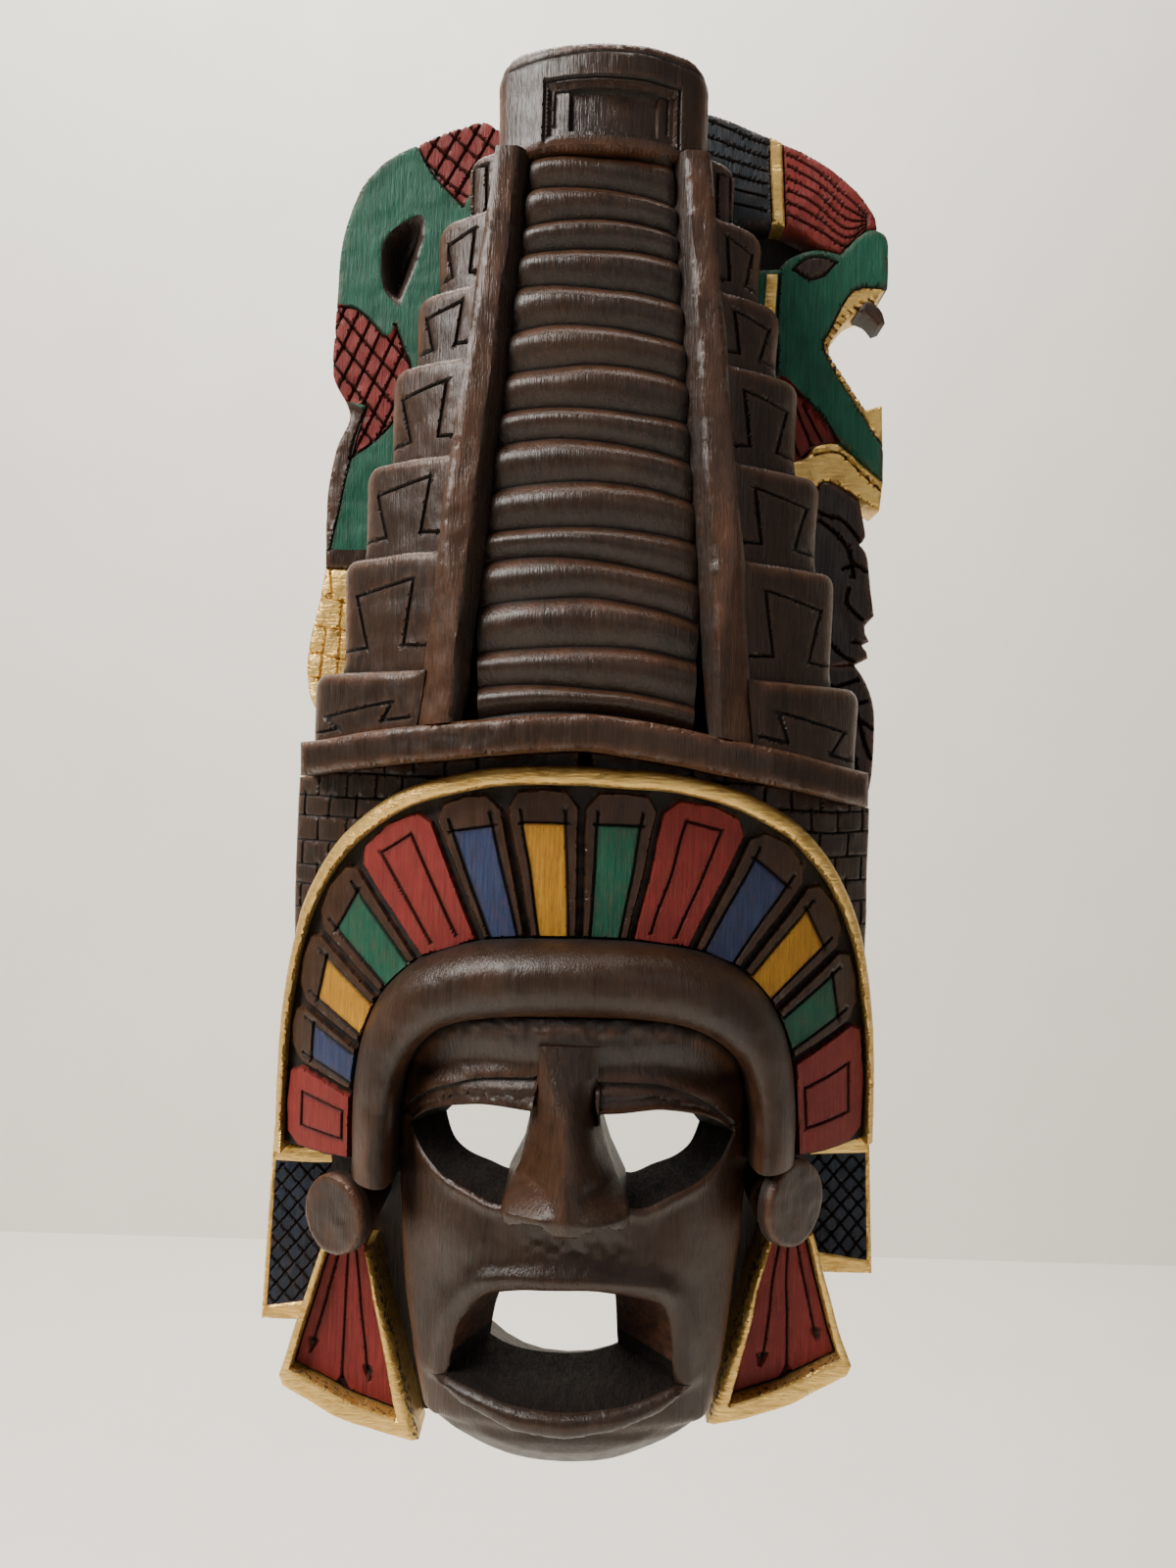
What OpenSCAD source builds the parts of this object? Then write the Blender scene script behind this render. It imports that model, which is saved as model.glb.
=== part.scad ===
// Carved wooden wall mask: a stepped temple with side figures above a feathered face, hollow behind.
// X runs across the mask, Z runs up it, and its carved front faces -Y.
// Depth is counted from the flat back, so a point of depth d lies at y = -d.
// The origin is on the flat back, on the solid bridge between the two hollows.
// Every carved piece stands on a flat back layer, and neighbours meet on flat walls.

/* [Back] */
// Thickness of the flat back layer
board_t = 20; // [18:0.5:21]
// Depth of the hollow behind the face
hollow_d = 45; // [42:0.5:48]
// Half width of the hollow behind the stair
trough_half_w = 33; // [30:0.5:34]

/* [Temple and stair] */
// Height of the temple's roof above the bridge
temple_top = 246; // [240:0.5:250]
// Half width of the temple
temple_half_w = 36; // [35:0.5:37]
// Height of the temple's floor, where the stair ends
temple_floor = 211; // [209:0.5:213]
// Half width of the stair at its head
stair_head_w = 23.5; // [22:0.5:25]
// Half width of the stair at its foot
stair_foot_w = 40.5; // [39:0.5:42]
// Width of each balustrade at the stair's head
rail_head_w = 12.5; // [11:0.5:14]
// Width of each balustrade at the stair's foot
rail_foot_w = 15.5; // [14:0.5:17]
// Number of rounded courses in the stair
courses = 15; // [12:1:18]

/* [Face and fan] */
// Half width of the feather fan over its gold rim
fan_w = 112; // [110:0.5:114]
// Height of the gold rim's top above the bridge
fan_top = 5.5; // [4:0.5:6]
// Half width of the headband
band_w = 79; // [77:0.5:80]
// Thickness of the headband
band_t = 17; // [15:0.5:18]
// Radius of the ear spools
spool_r = 14.3; // [13:0.1:14.5]
// How much lower the left ear, pendant and rim end than the right ones
left_drop = 9; // [7:0.5:10]

/* [Hanger] */
// Height of the hanging bail's pivot
pivot_z = 150; // [140:1:155]
// Depth of the hanging bail's pivot inside the hollow
pivot_d = 10; // [9:0.5:11]
// Half width of the bail between its legs
bail_w = 15; // [13:0.5:17]
// Length of the bail from pivot to bow
bail_len = 30; // [26:1:32]
// Radius of the bail's wire
wire_r = 1.2; // [1:0.1:1.3]

/* [Hidden] */
$fn = 96;
STEPS = 7;
FEATHERS = 13;
SIDES = ["left", "right"];

function two(i) = i < 10 ? str("0", i) : str(i);

// Stained wood and the painted woods
STAIN = [0.20, 0.12, 0.09];
RED = [0.62, 0.20, 0.20];
BLUE = [0.24, 0.32, 0.50];
YELLOW = [0.85, 0.60, 0.12];
GREEN = [0.16, 0.45, 0.32];
GOLD = [0.85, 0.68, 0.36];
STEEL = [0.62, 0.62, 0.62];
FEATHER_PAINT = [RED, BLUE, YELLOW, GREEN];

// Stair and terraces: the heights where terraces meet, their half widths, and how far they stand out
TERRACE_Z = [217, 195, 169, 143, 109, 76, 36, -10];
TERRACE_W = [46.5, 57, 64, 71.5, 80, 86.5, 97];
TERRACE_CORNER = 5;
STAIR_FOOT = 5;
STAIR_HEAD_CROWN = 77;
STAIR_FOOT_CROWN = 90;
STAIR_R = 90;
RAIL_RISE = 3;
GROOVE = 3;
LEDGE_W = 101;
LEDGE_TOP = 23;
LEDGE_T = 13;
LEDGE_CROWN = 93;
BRICK_W = 107;
BRICK_FOOT = -60;

// Fan: the lines between feathers spread from one centre, at these angles from upright
FAN_Z = -131;
FAN_CENTRE = [0, -133];
FEATHER_EDGE = [-92, -75, -63.5, -50.5, -37.5, -23, -12, 0, 12, 26, 38.5, 51, 64, 88];
FAN_CROWN = 75;
FAN_R = 150;
RIM_TOP_T = 6.5;
RIM_SIDE_T = 3.5;
BAND_Z = -129.5;
BAND_TOP = -52;
BAND_CROWN = 92;
BAND_R = 113.5;

// Face: crown of its rounded front and the hollow behind it
FACE_CROWN = 85;
FACE_R = 70;
CHIN_Z = -218;
CHIN_DROP = 26;
HOLLOW_Z = -125;
TROUGH_Z = 108;

// Upper line of the base ledge, which bows up in the middle and sinks a little to the right
function ledge_line(drop) = [
    for (x = [-LEDGE_W:LEDGE_W / 5:LEDGE_W])
        [x, LEDGE_TOP - drop - 13.5 * pow(abs(x) / LEDGE_W, 1.3) - 2.5 * x / LEDGE_W]
];
function backward(points) = [for (i = [len(points) - 1:-1:0]) points[i]];

// Points of an arch of half width a and height h above z, squarer as n grows
function arch(a, h, z, n, k = 24) = [
    for (i = [0:k])
        let (c = cos(180 * i / k), s = sin(180 * i / k))
        [a * sign(c) * pow(abs(c), 2 / n), z + h * pow(s, 2 / n)]
];

// An arch standing on two legs that end at the given heights
module arch_area(a, h, z, n, left_z, right_z) {
    polygon(concat(arch(a, h, z, n), [[-a, left_z], [a, right_z]]));
}

// Closed egg: one arch up, one arch down
module egg(a, up, down, z, n) {
    polygon(concat(arch(a, up, z, n), [for (p = arch(a, down, z, n)) [-p[0], 2 * z - p[1]]]));
}

// Gives an outline in X and Z a body from depth a to depth b
module slab(a, b) {
    translate([0, -a, 0]) rotate([90, 0, 0]) linear_extrude(b - a) children();
}

// Everything behind an upright rounded front of the given crown depth and radius
module log_form(crown, r) {
    translate([0, r - crown, -300]) cylinder(r = r, h = 600);
}

// A piece that stands on the back layer under a rounded front
module relief(crown, r, from = board_t) {
    intersection() {
        slab(from, crown + 1) children();
        log_form(crown, r);
    }
}

// Mirrors a right-hand outline to the left, where it hangs lower and a little farther out
module side_of(side) {
    if (side == "left") mirror([1, 0, 0]) translate([2, -left_drop]) children();
    else children();
}

function stair_edge(z) = stair_foot_w + (stair_head_w - stair_foot_w) * (z - 19) / (temple_floor - 19);
function rail_w(z) = rail_foot_w + (rail_head_w - rail_foot_w) * (z - 19) / (temple_floor - 19);
function rail_edge(z) = stair_edge(z) + rail_w(z);

// ---- outlines ----

module temple_area() {
    corner = 8;
    square_top = temple_top - corner;
    translate([-temple_half_w, temple_floor])
        square([2 * temple_half_w, square_top - temple_floor]);
    translate([corner - temple_half_w, temple_floor])
        square([2 * (temple_half_w - corner), temple_top - temple_floor]);
    for (s = [-1, 1]) translate([s * (temple_half_w - corner), square_top]) circle(r = corner);
}

module ledge_area() {
    polygon(concat(ledge_line(0), backward(ledge_line(LEDGE_T))));
}

module below_ledge() {
    polygon(concat(ledge_line(0), [[120, -30], [-120, -30]]));
}

module above_ledge_foot() {
    polygon(concat(backward(ledge_line(LEDGE_T)), [[-120, 40], [120, 40]]));
}

module rim_area() {
    arch_area(fan_w, fan_top - FAN_Z, FAN_Z, 2.85, FAN_Z - left_drop, FAN_Z);
}

module fan_area() {
    arch_area(fan_w - RIM_SIDE_T, fan_top - RIM_TOP_T - FAN_Z, FAN_Z, 2.85, FAN_Z - 30, FAN_Z - 30);
}

module band_area(inset = 0) {
    arch_area(band_w - inset, BAND_TOP - inset - BAND_Z, BAND_Z, 3, BAND_Z - left_drop - 1, BAND_Z);
}

// Everything inside the headband's outer line, where no feather reaches
module inside_band() {
    arch_area(band_w, BAND_TOP - BAND_Z, BAND_Z, 3, BAND_Z - 30, BAND_Z - 30);
}

module band_mouth(grow = 0, foot = 60) {
    a = band_w - band_t;
    arch_area(a + grow, BAND_TOP - 25.5 + grow - BAND_Z, BAND_Z, 3.2, BAND_Z - foot, BAND_Z - foot);
}

module jaw_area() {
    chin = [for (p = arch(49, CHIN_DROP, CHIN_Z, 2.6)) [-p[0], 2 * CHIN_Z - p[1]]];
    jaw_w = band_w - band_t;
    polygon(concat([[57.5, -180], [jaw_w, BAND_Z - 11], [jaw_w, BAND_Z]],
        [[-jaw_w, BAND_Z], [-jaw_w, BAND_Z - 11], [-57.5, -180]], chin));
}

module face_area() {
    jaw_area();
    band_mouth(0, 5);
}

module pendant_area() {
    polygon([[88, -161], [102.5, -208], [80, -222.5], [51, -230], [71, -163]]);
}

module pendant_field() {
    polygon([[84.5, -168], [95.5, -204.5], [78.5, -215.5], [59, -222], [75, -169]]);
}

module panel_area(side) {
    foot = side == "left" ? -198 : -183;
    polygon([[86, -131], [112.5, -131], [115, foot], [86, foot]]);
}

module lower_back() {
    right_edge = [[90, -100], [90, -131], [88, -161], [102.5, -208], [80, -222.5], [51, -230]];
    left_edge = [for (p = right_edge) [-p[0] - 2, p[1] - left_drop]];
    polygon(concat(right_edge, backward(left_edge)));
}

// The flat back layer, without the side figures, is the sum of these overlapping regions
BLOCK_REGIONS = 7;
module block_region(i) {
    if (i == 0) temple_area();
    if (i == 1) polygon([[36, temple_floor + 1], [84, 24], [94, -40], [-94, -40], [-84, 24],
        [-36, temple_floor + 1]]);
    if (i == 2) ledge_area();
    if (i == 3) translate([-BRICK_W, BRICK_FOOT]) square([2 * BRICK_W, -BRICK_FOOT - 4]);
    if (i == 4) rim_area();
    if (i == 5) jaw_area();
    if (i == 6) lower_back();
}

module block_area() {
    for (i = [0:BLOCK_REGIONS - 1]) block_region(i);
}

module nose_area() {
    right = [[9, -79], [8, -108], [12, -124], [20.8, -139], [18, -143]];
    polygon(concat(right, [for (i = [4:-1:0]) [-right[i][0], right[i][1]]]));
}

module eye_area() {
    polygon([[0, -109], [18, -107.5], [32, -110], [45, -114.5], [54, -120.5], [47, -129], [36, -135.5],
        [23, -138.8], [0, -134]]);
}

module mouth_area(inset = 0) {
    right = [[0, -165 - inset / 3], [18, -165 - inset / 3], [28.5 - inset, -170],
        [38.5 - inset, -198], [28 - inset, -202], [0, -204 + inset / 4]];
    polygon(concat(right, [for (i = [4:-1:1]) [-right[i][0], right[i][1]]]));
}

module lip_area() {
    right = [[0, -204], [28, -202], [38.5, -198], [44, -200], [30, -208.5], [0, -212.5]];
    polygon(concat(right, [for (i = [4:-1:1]) [-right[i][0], right[i][1]]]));
}

// ---- back ----

module carved_block() {
    color(STAIN) difference() {
        for (i = [0:BLOCK_REGIONS - 1]) slab(0, board_t) block_region(i);
        slab(-1, board_t + 1) egg(56, 37, 100, HOLLOW_Z, 2.3);
        slab(-1, board_t + 1) egg(trough_half_w, 92, 88, TROUGH_Z, 4);
    }
}

// ---- temple, stair and terraces ----

module temple() {
    door_shift = 3;
    color(STAIN) difference() {
        relief(80, 53) temple_area();
        slab(73, 90) translate([door_shift - 23, temple_floor + 1]) square([46, 21]);
        slab(69, 90) translate([door_shift - 15, temple_floor + 5]) square([31, 16]);
    }
}

// One rounded course of the stair, with the groove that parts it from the next
module course(low, high) {
    crown = STAIR_FOOT_CROWN
        + (STAIR_HEAD_CROWN - STAIR_FOOT_CROWN) * (low - STAIR_FOOT) / (temple_floor - STAIR_FOOT);
    for (part = [[low, high - GROOVE / 2, crown], [high - GROOVE / 2, high, crown - GROOVE]])
        relief(part[2], STAIR_R) difference() {
            polygon([[stair_edge(part[0]), part[0]], [stair_edge(part[1]), part[1]],
                [-stair_edge(part[1]), part[1]], [-stair_edge(part[0]), part[0]]]);
            below_ledge();
        }
}

module stair() {
    foot = LEDGE_TOP - LEDGE_T;
    rise = (temple_floor - foot) / courses;
    color(STAIN) difference() {
        for (i = [0:courses - 1]) course(foot + i * rise, foot + (i + 1) * rise);
        for (s = [-1, 1]) translate([s * (bail_w + 3), -board_t + 1, pivot_z])
            rotate([90, 0, 0]) cylinder(r = 1.3, h = 13);
    }
}

module balustrade(side) {
    foot = 0;
    crown_foot = STAIR_FOOT_CROWN + RAIL_RISE - 4;
    crown_head = STAIR_HEAD_CROWN + RAIL_RISE - 4;
    color(STAIN) mirror([side == "left" ? 1 : 0, 0, 0]) intersection() {
        slab(board_t, 100) difference() {
            polygon([[stair_edge(foot), foot], [rail_edge(foot), foot],
                [rail_edge(temple_floor), temple_floor], [stair_edge(temple_floor), temple_floor]]);
            mirror([side == "left" ? 1 : 0, 0]) below_ledge();
        }
        rotate([90, 0, 90]) linear_extrude(100)
            polygon([[0, 0], [-crown_foot, 0], [-crown_head, temple_floor], [0, temple_floor]]);
        log_form(96, 100);
    }
}

module terrace(side, i) {
    high = TERRACE_Z[i - 1];
    low = TERRACE_Z[i];
    w = TERRACE_W[i - 1];
    t = (i - 1) / (STEPS - 1);
    color(STAIN) mirror([side == "left" ? 1 : 0, 0, 0]) relief(72 + 20 * t, 75 + 55 * t) difference() {
        polygon(concat([[20, low], [w, low]],
            [for (a = [0:22.5:90]) [w, high] + TERRACE_CORNER * [cos(a) - 1, sin(a) - 1]],
            [[20, high]]));
        rail_side();
        mirror([side == "left" ? 1 : 0, 0]) below_ledge();
    }
}

// The ground taken by stair, balustrade and temple, which no terrace enters
module rail_side() {
    polygon([[0, -20], [rail_edge(-20), -20], [rail_edge(temple_floor), temple_floor],
        [temple_half_w, temple_floor], [temple_half_w, temple_top], [0, temple_top]]);
}

module base_ledge() {
    color(STAIN) relief(LEDGE_CROWN, FAN_R) ledge_area();
}

module brick_wall(side) {
    s = side == "left" ? -1 : 1;
    color(STAIN) relief(FAN_CROWN - 3, FAN_R) difference() {
        polygon([[0, 12], [s * BRICK_W, 12], [s * BRICK_W, BRICK_FOOT], [0, BRICK_FOOT]]);
        rim_area();
        above_ledge_foot();
    }
}

// ---- feather fan ----

module fan_wedge(from, to) {
    reach = 200;
    polygon([FAN_CENTRE, FAN_CENTRE + reach * [sin(from), cos(from)], FAN_CENTRE + reach * [sin(to), cos(to)]]);
}

module feather(i) {
    gap = 0.8;
    color(FEATHER_PAINT[(i - 1) % 4]) {
        relief(FAN_CROWN - GROOVE, FAN_R) intersection() {
            fan_wedge(FEATHER_EDGE[i - 1], FEATHER_EDGE[i]);
            difference() {
                fan_area();
                inside_band();
            }
        }
        relief(FAN_CROWN, FAN_R, board_t + 5) intersection() {
            fan_wedge(FEATHER_EDGE[i - 1] + gap, FEATHER_EDGE[i] - gap);
            difference() {
                arch_area(fan_w - 6, fan_top - RIM_TOP_T - 3 - FAN_Z, FAN_Z, 2.85, FAN_Z - 30, FAN_Z - 30);
                inside_band();
            }
        }
    }
}

module gold_rim() {
    color(GOLD) relief(FAN_CROWN + 4, FAN_R) difference() {
        rim_area();
        fan_area();
    }
}

module headband() {
    color(STAIN) {
        relief(BAND_CROWN - 7, BAND_R) difference() {
            band_area();
            band_mouth();
        }
        relief(BAND_CROWN, BAND_R) difference() {
            band_area(5);
            band_mouth(5);
        }
    }
}

// ---- face ----

// Side view of the face: straight down to the lip, then rounding back under the chin
module chin_profile() {
    rotate([90, 0, 90]) translate([0, 0, -70]) linear_extrude(140)
        polygon([[0, -70], [-86, -70], [-86, -206], [-84, -213], [-79, -221], [-70, -229], [-57, -236],
            [-40, -241.5], [-20, -244], [0, -244]]);
}

module face() {
    color(STAIN) difference() {
        intersection() {
            relief(FACE_CROWN, FACE_R) difference() {
                face_area();
                nose_area();
                lip_area();
            }
            chin_profile();
        }
        slab(0, hollow_d) egg(54, 35, 96, HOLLOW_Z, 2.3);
        for (s = [0, 1]) mirror([s, 0, 0]) slab(hollow_d - 1, 100) eye_area();
        slab(62, 100) mouth_area();
        slab(hollow_d - 1, 63) mouth_area(10);
    }
}

module nose() {
    color(STAIN) intersection() {
        slab(hollow_d, 106) nose_area();
        rotate([90, 0, 90]) translate([0, 0, -30]) linear_extrude(60)
            polygon([[0, -79], [-84, -79], [-105, -137], [-92, -143], [0, -143]]);
        log_form(105, 26);
    }
}

module lower_lip() {
    color(STAIN) relief(90, FACE_R, hollow_d) lip_area();
}

// Disc of the ear spool, turned outward, on a short post that stands on the back layer
module ear_spool(side) {
    color(STAIN) mirror([side == "left" ? 1 : 0, 0, 0]) translate([side == "left" ? 2 : 0, 0, 0])
        translate([77, 0, side == "left" ? -144.6 - left_drop : -144.6]) difference() {
            union() {
                translate([0, -48, 0]) rotate([90, 0, 35]) cylinder(r = spool_r, h = 9);
                translate([0, -board_t, 0]) rotate([90, 0, 0]) cylinder(r = 9, h = 32);
            }
            translate([-40, -board_t, -30]) cube([80, 60, 60]);
        }
}

module pendant(side) {
    color(RED) slab(board_t, 35) side_of(side) pendant_field();
}

module pendant_frame(side) {
    color(GOLD) slab(board_t, 41) side_of(side) difference() {
        pendant_area();
        pendant_field();
    }
}

module side_panel(side) {
    color(BLUE) slab(0, board_t) difference() {
        side_of(side) panel_area(side);
        block_area();
    }
}

// ---- side figures, all as thick as the back layer ----

module figure(paint, points) {
    color(paint) slab(0, board_t) difference() {
        polygon(points);
        block_area();
    }
}

module serpent_body() {
    leaf = [[-68.5, 214], [-76, 211], [-82, 204.5], [-83, 196.5], [-81.5, 185], [-75.5, 179], [-73.5, 184.5],
        [-69.5, 196], [-67, 207.5]];
    difference() {
        figure(GREEN, [[-30, 246], [-46, 250], [-55, 248], [-71, 241], [-83.5, 233], [-92.5, 221], [-98, 204],
            [-99.5, 183], [-101, 160], [-99.5, 150], [-95, 142], [-98, 130], [-101.5, 109], [-101, 79],
            [-60, 79], [-30, 200]]);
        slab(6, 40) polygon(leaf);
    }
}

module gold_scales() {
    figure(GOLD, [[-60, 79], [-101, 79], [-103, 67], [-106, 54], [-107, 43], [-106, 32], [-103.5, 26],
        [-60, 26]]);
}

// The crest, with a thin dark web below it that joins it to the head
module serpent_crest() {
    figure(RED, [[30, 258], [40, 258], [63, 248.5], [83.5, 239], [95.5, 230], [103.5, 220.5], [105.5, 214.5],
        [98.5, 211.5], [91, 204.5], [82.5, 207.5], [68.5, 214.5], [30, 214.5]]);
    color(RED) slab(0, 8) difference() {
        polygon([[30, 216], [67, 215.5], [81.5, 208.5], [81.5, 206], [72, 202.5], [68, 198.5], [30, 197]]);
        block_area();
    }
}

// Head with open jaws, the gold gums along them and one fang
module serpent_head() {
    figure(GREEN, [[91, 204.5], [98.5, 211.5], [105.5, 214.5], [109, 211.5], [110, 203], [110, 192],
        [107, 190], [105, 186], [108, 182], [109.2, 178.3], [106.5, 177], [103, 181], [98.5, 182.5],
        [96.3, 182.1], [91.8, 176.4], [89, 171.5], [88.8, 167], [94.2, 159.1], [100, 150], [102.9, 145.8],
        [109.2, 147.6], [110, 134.5], [110.5, 118], [102, 125], [93, 133], [84.5, 131.5],
        [77, 125], [40, 125], [40, 197], [68, 198.5], [72, 202.5], [81.5, 206]]);
}

module jaw_collar() {
    figure(GOLD, [[50, 125], [77, 125], [84.5, 131.5], [93, 133], [102, 125], [110.5, 118], [109.5, 107],
        [102, 111], [89.5, 117.5], [85, 115], [82, 109.5], [74.5, 112], [50, 112]]);
}

module warrior_head() {
    figure(STAIN, [[50, 112], [74.5, 112], [82, 109.5], [85, 115], [89.5, 117.5], [102, 111], [104.5, 97],
        [102, 94], [106, 84], [108.5, 67], [105, 63], [107, 57], [104, 56], [106.5, 51.5], [101.5, 48.5],
        [60, 48.5]]);
}

module warrior_shoulder() {
    figure(STAIN, [[60, 48.5], [101.5, 48.5], [109, 33.5], [110, 22], [109.5, 7], [107.5, -4], [95, -4],
        [70, 40]]);
}

// ---- hanger ----

module hanger_frame() {
    translate([0, -pivot_d, pivot_z]) children();
}

module screw_eyes() {
    ring_r = 2.7;
    eye_r = 0.9;
    color(STEEL) for (s = [-1, 1]) hanger_frame() translate([s * (bail_w + 3), 0, 0]) {
        rotate([0, 90, 0]) rotate_extrude() translate([ring_r, 0]) circle(r = eye_r, $fn = 32);
        translate([0, -ring_r, 0]) rotate([90, 0, 0]) cylinder(r = eye_r, h = board_t - pivot_d - ring_r + 11);
        translate([0, pivot_d - board_t + 1.2, 0]) rotate([90, 0, 0]) cylinder(r = 2, h = 1.2);
    }
}

module hanging_bail() {
    leg = bail_len - bail_w;
    color(STEEL) hanger_frame() {
        for (s = [-1, 1]) translate([s * bail_w, 0, 0]) {
            sphere(r = wire_r);
            rotate([180, 0, 0]) cylinder(r = wire_r, h = leg);
            rotate([0, s * 90, 0]) cylinder(r = wire_r, h = 6);
            translate([s * 5.5, 0, 0]) rotate([0, s * 90, 0]) cylinder(r = 2.4, h = 1.2);
        }
        translate([0, 0, -leg]) rotate([90, 0, 0]) rotate_extrude(angle = 180, start = 180)
            translate([bail_w, 0]) circle(r = wire_r, $fn = 32);
    }
}

carved_block();
face();
nose();
lower_lip();
headband();
gold_rim();
for (i = [1:FEATHERS]) feather(i);
for (s = SIDES) {
    ear_spool(s);
    pendant(s);
    pendant_frame(s);
    side_panel(s);
    brick_wall(s);
    balustrade(s);
    for (i = [1:STEPS]) terrace(s, i);
}
base_ledge();
stair();
temple();
serpent_body();
gold_scales();
serpent_crest();
serpent_head();
jaw_collar();
warrior_head();
warrior_shoulder();
screw_eyes();
hanging_bail();
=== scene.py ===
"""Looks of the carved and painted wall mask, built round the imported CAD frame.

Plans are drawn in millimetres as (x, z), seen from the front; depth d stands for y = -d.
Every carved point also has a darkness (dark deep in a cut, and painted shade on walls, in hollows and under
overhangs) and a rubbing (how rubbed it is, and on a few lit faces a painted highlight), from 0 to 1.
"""
import math
import bpy
import numpy as np
from mathutils import Matrix, Vector
from mathutils.geometry import delaunay_2d_cdt


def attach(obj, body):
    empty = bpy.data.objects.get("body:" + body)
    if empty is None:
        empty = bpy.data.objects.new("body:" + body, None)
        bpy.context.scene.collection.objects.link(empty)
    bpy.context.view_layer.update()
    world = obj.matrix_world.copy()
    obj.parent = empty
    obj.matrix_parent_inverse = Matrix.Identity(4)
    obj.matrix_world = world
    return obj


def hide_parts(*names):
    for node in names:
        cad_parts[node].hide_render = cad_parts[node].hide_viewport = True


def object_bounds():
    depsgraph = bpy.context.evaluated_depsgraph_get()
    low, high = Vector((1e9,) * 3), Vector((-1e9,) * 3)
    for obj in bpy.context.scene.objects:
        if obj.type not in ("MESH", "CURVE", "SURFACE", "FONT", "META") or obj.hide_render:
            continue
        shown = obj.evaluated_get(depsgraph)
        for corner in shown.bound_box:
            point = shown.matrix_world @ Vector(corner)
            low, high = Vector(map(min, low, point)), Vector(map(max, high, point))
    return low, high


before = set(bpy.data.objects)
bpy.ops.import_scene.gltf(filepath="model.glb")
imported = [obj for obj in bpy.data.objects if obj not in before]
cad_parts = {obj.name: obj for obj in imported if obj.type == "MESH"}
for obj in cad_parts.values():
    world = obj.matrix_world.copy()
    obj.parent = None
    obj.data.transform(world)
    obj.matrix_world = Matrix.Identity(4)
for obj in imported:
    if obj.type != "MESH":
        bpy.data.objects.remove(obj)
CAD_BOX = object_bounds()

BOARD = 20.0
FAN_CENTRE = (0.0, -133.0)
FAN_Z, FAN_POWER = -131.0, 2.85
RIM_OUTER, RIM_INNER = (112.0, 136.5), (108.5, 130.0)
BAND_Z = -129.5
BAND_OUTER, BAND_INNER = (79.0, 77.5), (62.0, 52.0)
HEADDRESS_R = 150
SIDE_SHIFT, LEFT_DROP = 2.0, 9.0
FEATHER_EDGE = [-92, -75, -63.5, -50.5, -37.5, -23, -12, 0, 12, 26, 38.5, 51, 64, 88]
TERRACE_Z = [217, 195, 169, 143, 109, 76, 36, -10]
TERRACE_W = [46.5, 57, 64, 71.5, 80, 86.5, 97]
STAIR_JOINTS = [-4, 22.5, 32, 45.5, 60, 73.5, 85, 99, 113, 125, 138.5, 151.5, 166, 178.5, 187.5, 199, 211]
FIGURE_FRONT = 19.6
BEHIND_FIGURES = 0.4


# ---- plan geometry ----

def arch(a, h, z, n, k=60):
    """Points of a superellipse arch, from its right foot over the top to its left foot."""
    out = []
    for i in range(k + 1):
        c, s = math.cos(math.pi * i / k), math.sin(math.pi * i / k)
        out.append((a * math.copysign(abs(c) ** (2 / n), c), z + h * max(s, 0) ** (2 / n)))
    return out


def circle(r, k, x=0.0, z=0.0):
    turn = np.linspace(0, 2 * math.pi, k, endpoint=False)
    return [(x + r * math.cos(a), z + r * math.sin(a)) for a in turn]


def mirror(points, shift=0.0, drop=0.0):
    """The same outline on the other side, still counter-clockwise."""
    return [(-x - shift, z - drop) for x, z in reversed(points)]


def flip(lines, shift=0.0, drop=0.0):
    """The same open lines on the other side."""
    return [[(-x - shift, z - drop) for x, z in line] for line in lines]


def side_plan(s, points):
    """An outline beside the face, drawn for the right side; the left one sits lower."""
    return points if s > 0 else mirror(points, SIDE_SHIFT, LEFT_DROP)


def curve(points, sharp=(), closed=True, step=2.0):
    """A smooth line through the points; those named in sharp keep their corner."""
    n, out = len(points), []
    p = [np.array(q, float) for q in points]
    for i in range(n if closed else n - 1):
        a, b = p[i], p[(i + 1) % n]
        before = p[i - 1] if (i or closed) and i not in sharp else a
        after = p[(i + 2) % n] if (closed or i + 2 < n) and (i + 1) % n not in sharp else b
        ta, tb = (b - before) / 2, (after - a) / 2
        k = max(1, round(float(np.linalg.norm(b - a)) / step))
        for j in range(k):
            t = j / k
            q = ((2 * t ** 3 - 3 * t * t + 1) * a + (t ** 3 - 2 * t * t + t) * ta
                 + (3 * t * t - 2 * t ** 3) * b + (t ** 3 - t * t) * tb)
            out.append((float(q[0]), float(q[1])))
    if not closed:
        out.append(points[-1])
    return out


def open_curves(*lines):
    return [curve(q, closed=False) for q in lines]


def resample(points, step, closed=True):
    """The same line with points about step apart."""
    n, out = len(points), []
    for i in range(n if closed else n - 1):
        a, b = points[i], points[(i + 1) % n]
        k = max(1, round(math.dist(a, b) / step))
        out += [(a[0] + (b[0] - a[0]) * j / k, a[1] + (b[1] - a[1]) * j / k) for j in range(k)]
    if not closed:
        out.append(points[-1])
    return out


def counter(points):
    """The same outline, counter-clockwise."""
    area = sum(a[0] * b[1] - b[0] * a[1] for a, b in zip(points, points[1:] + points[:1]))
    return points if area > 0 else points[::-1]


def inset(points, dist):
    """The outline moved inward by dist, corner by corner."""
    points = counter(points)
    n, out = len(points), []
    for i in range(n):
        a, b, c = (Vector(points[(i + k) % n]) for k in (-1, 0, 1))
        u, v = (b - a).normalized(), (c - b).normalized()
        m = Vector((-u.y - v.y, u.x + v.x))
        m = m.normalized() if m.length > 1e-6 else Vector((-u.y, u.x))
        q = b + m * dist / max(0.35, m.dot(Vector((-u.y, u.x))))
        out.append((q.x, q.y))
    return out


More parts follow.
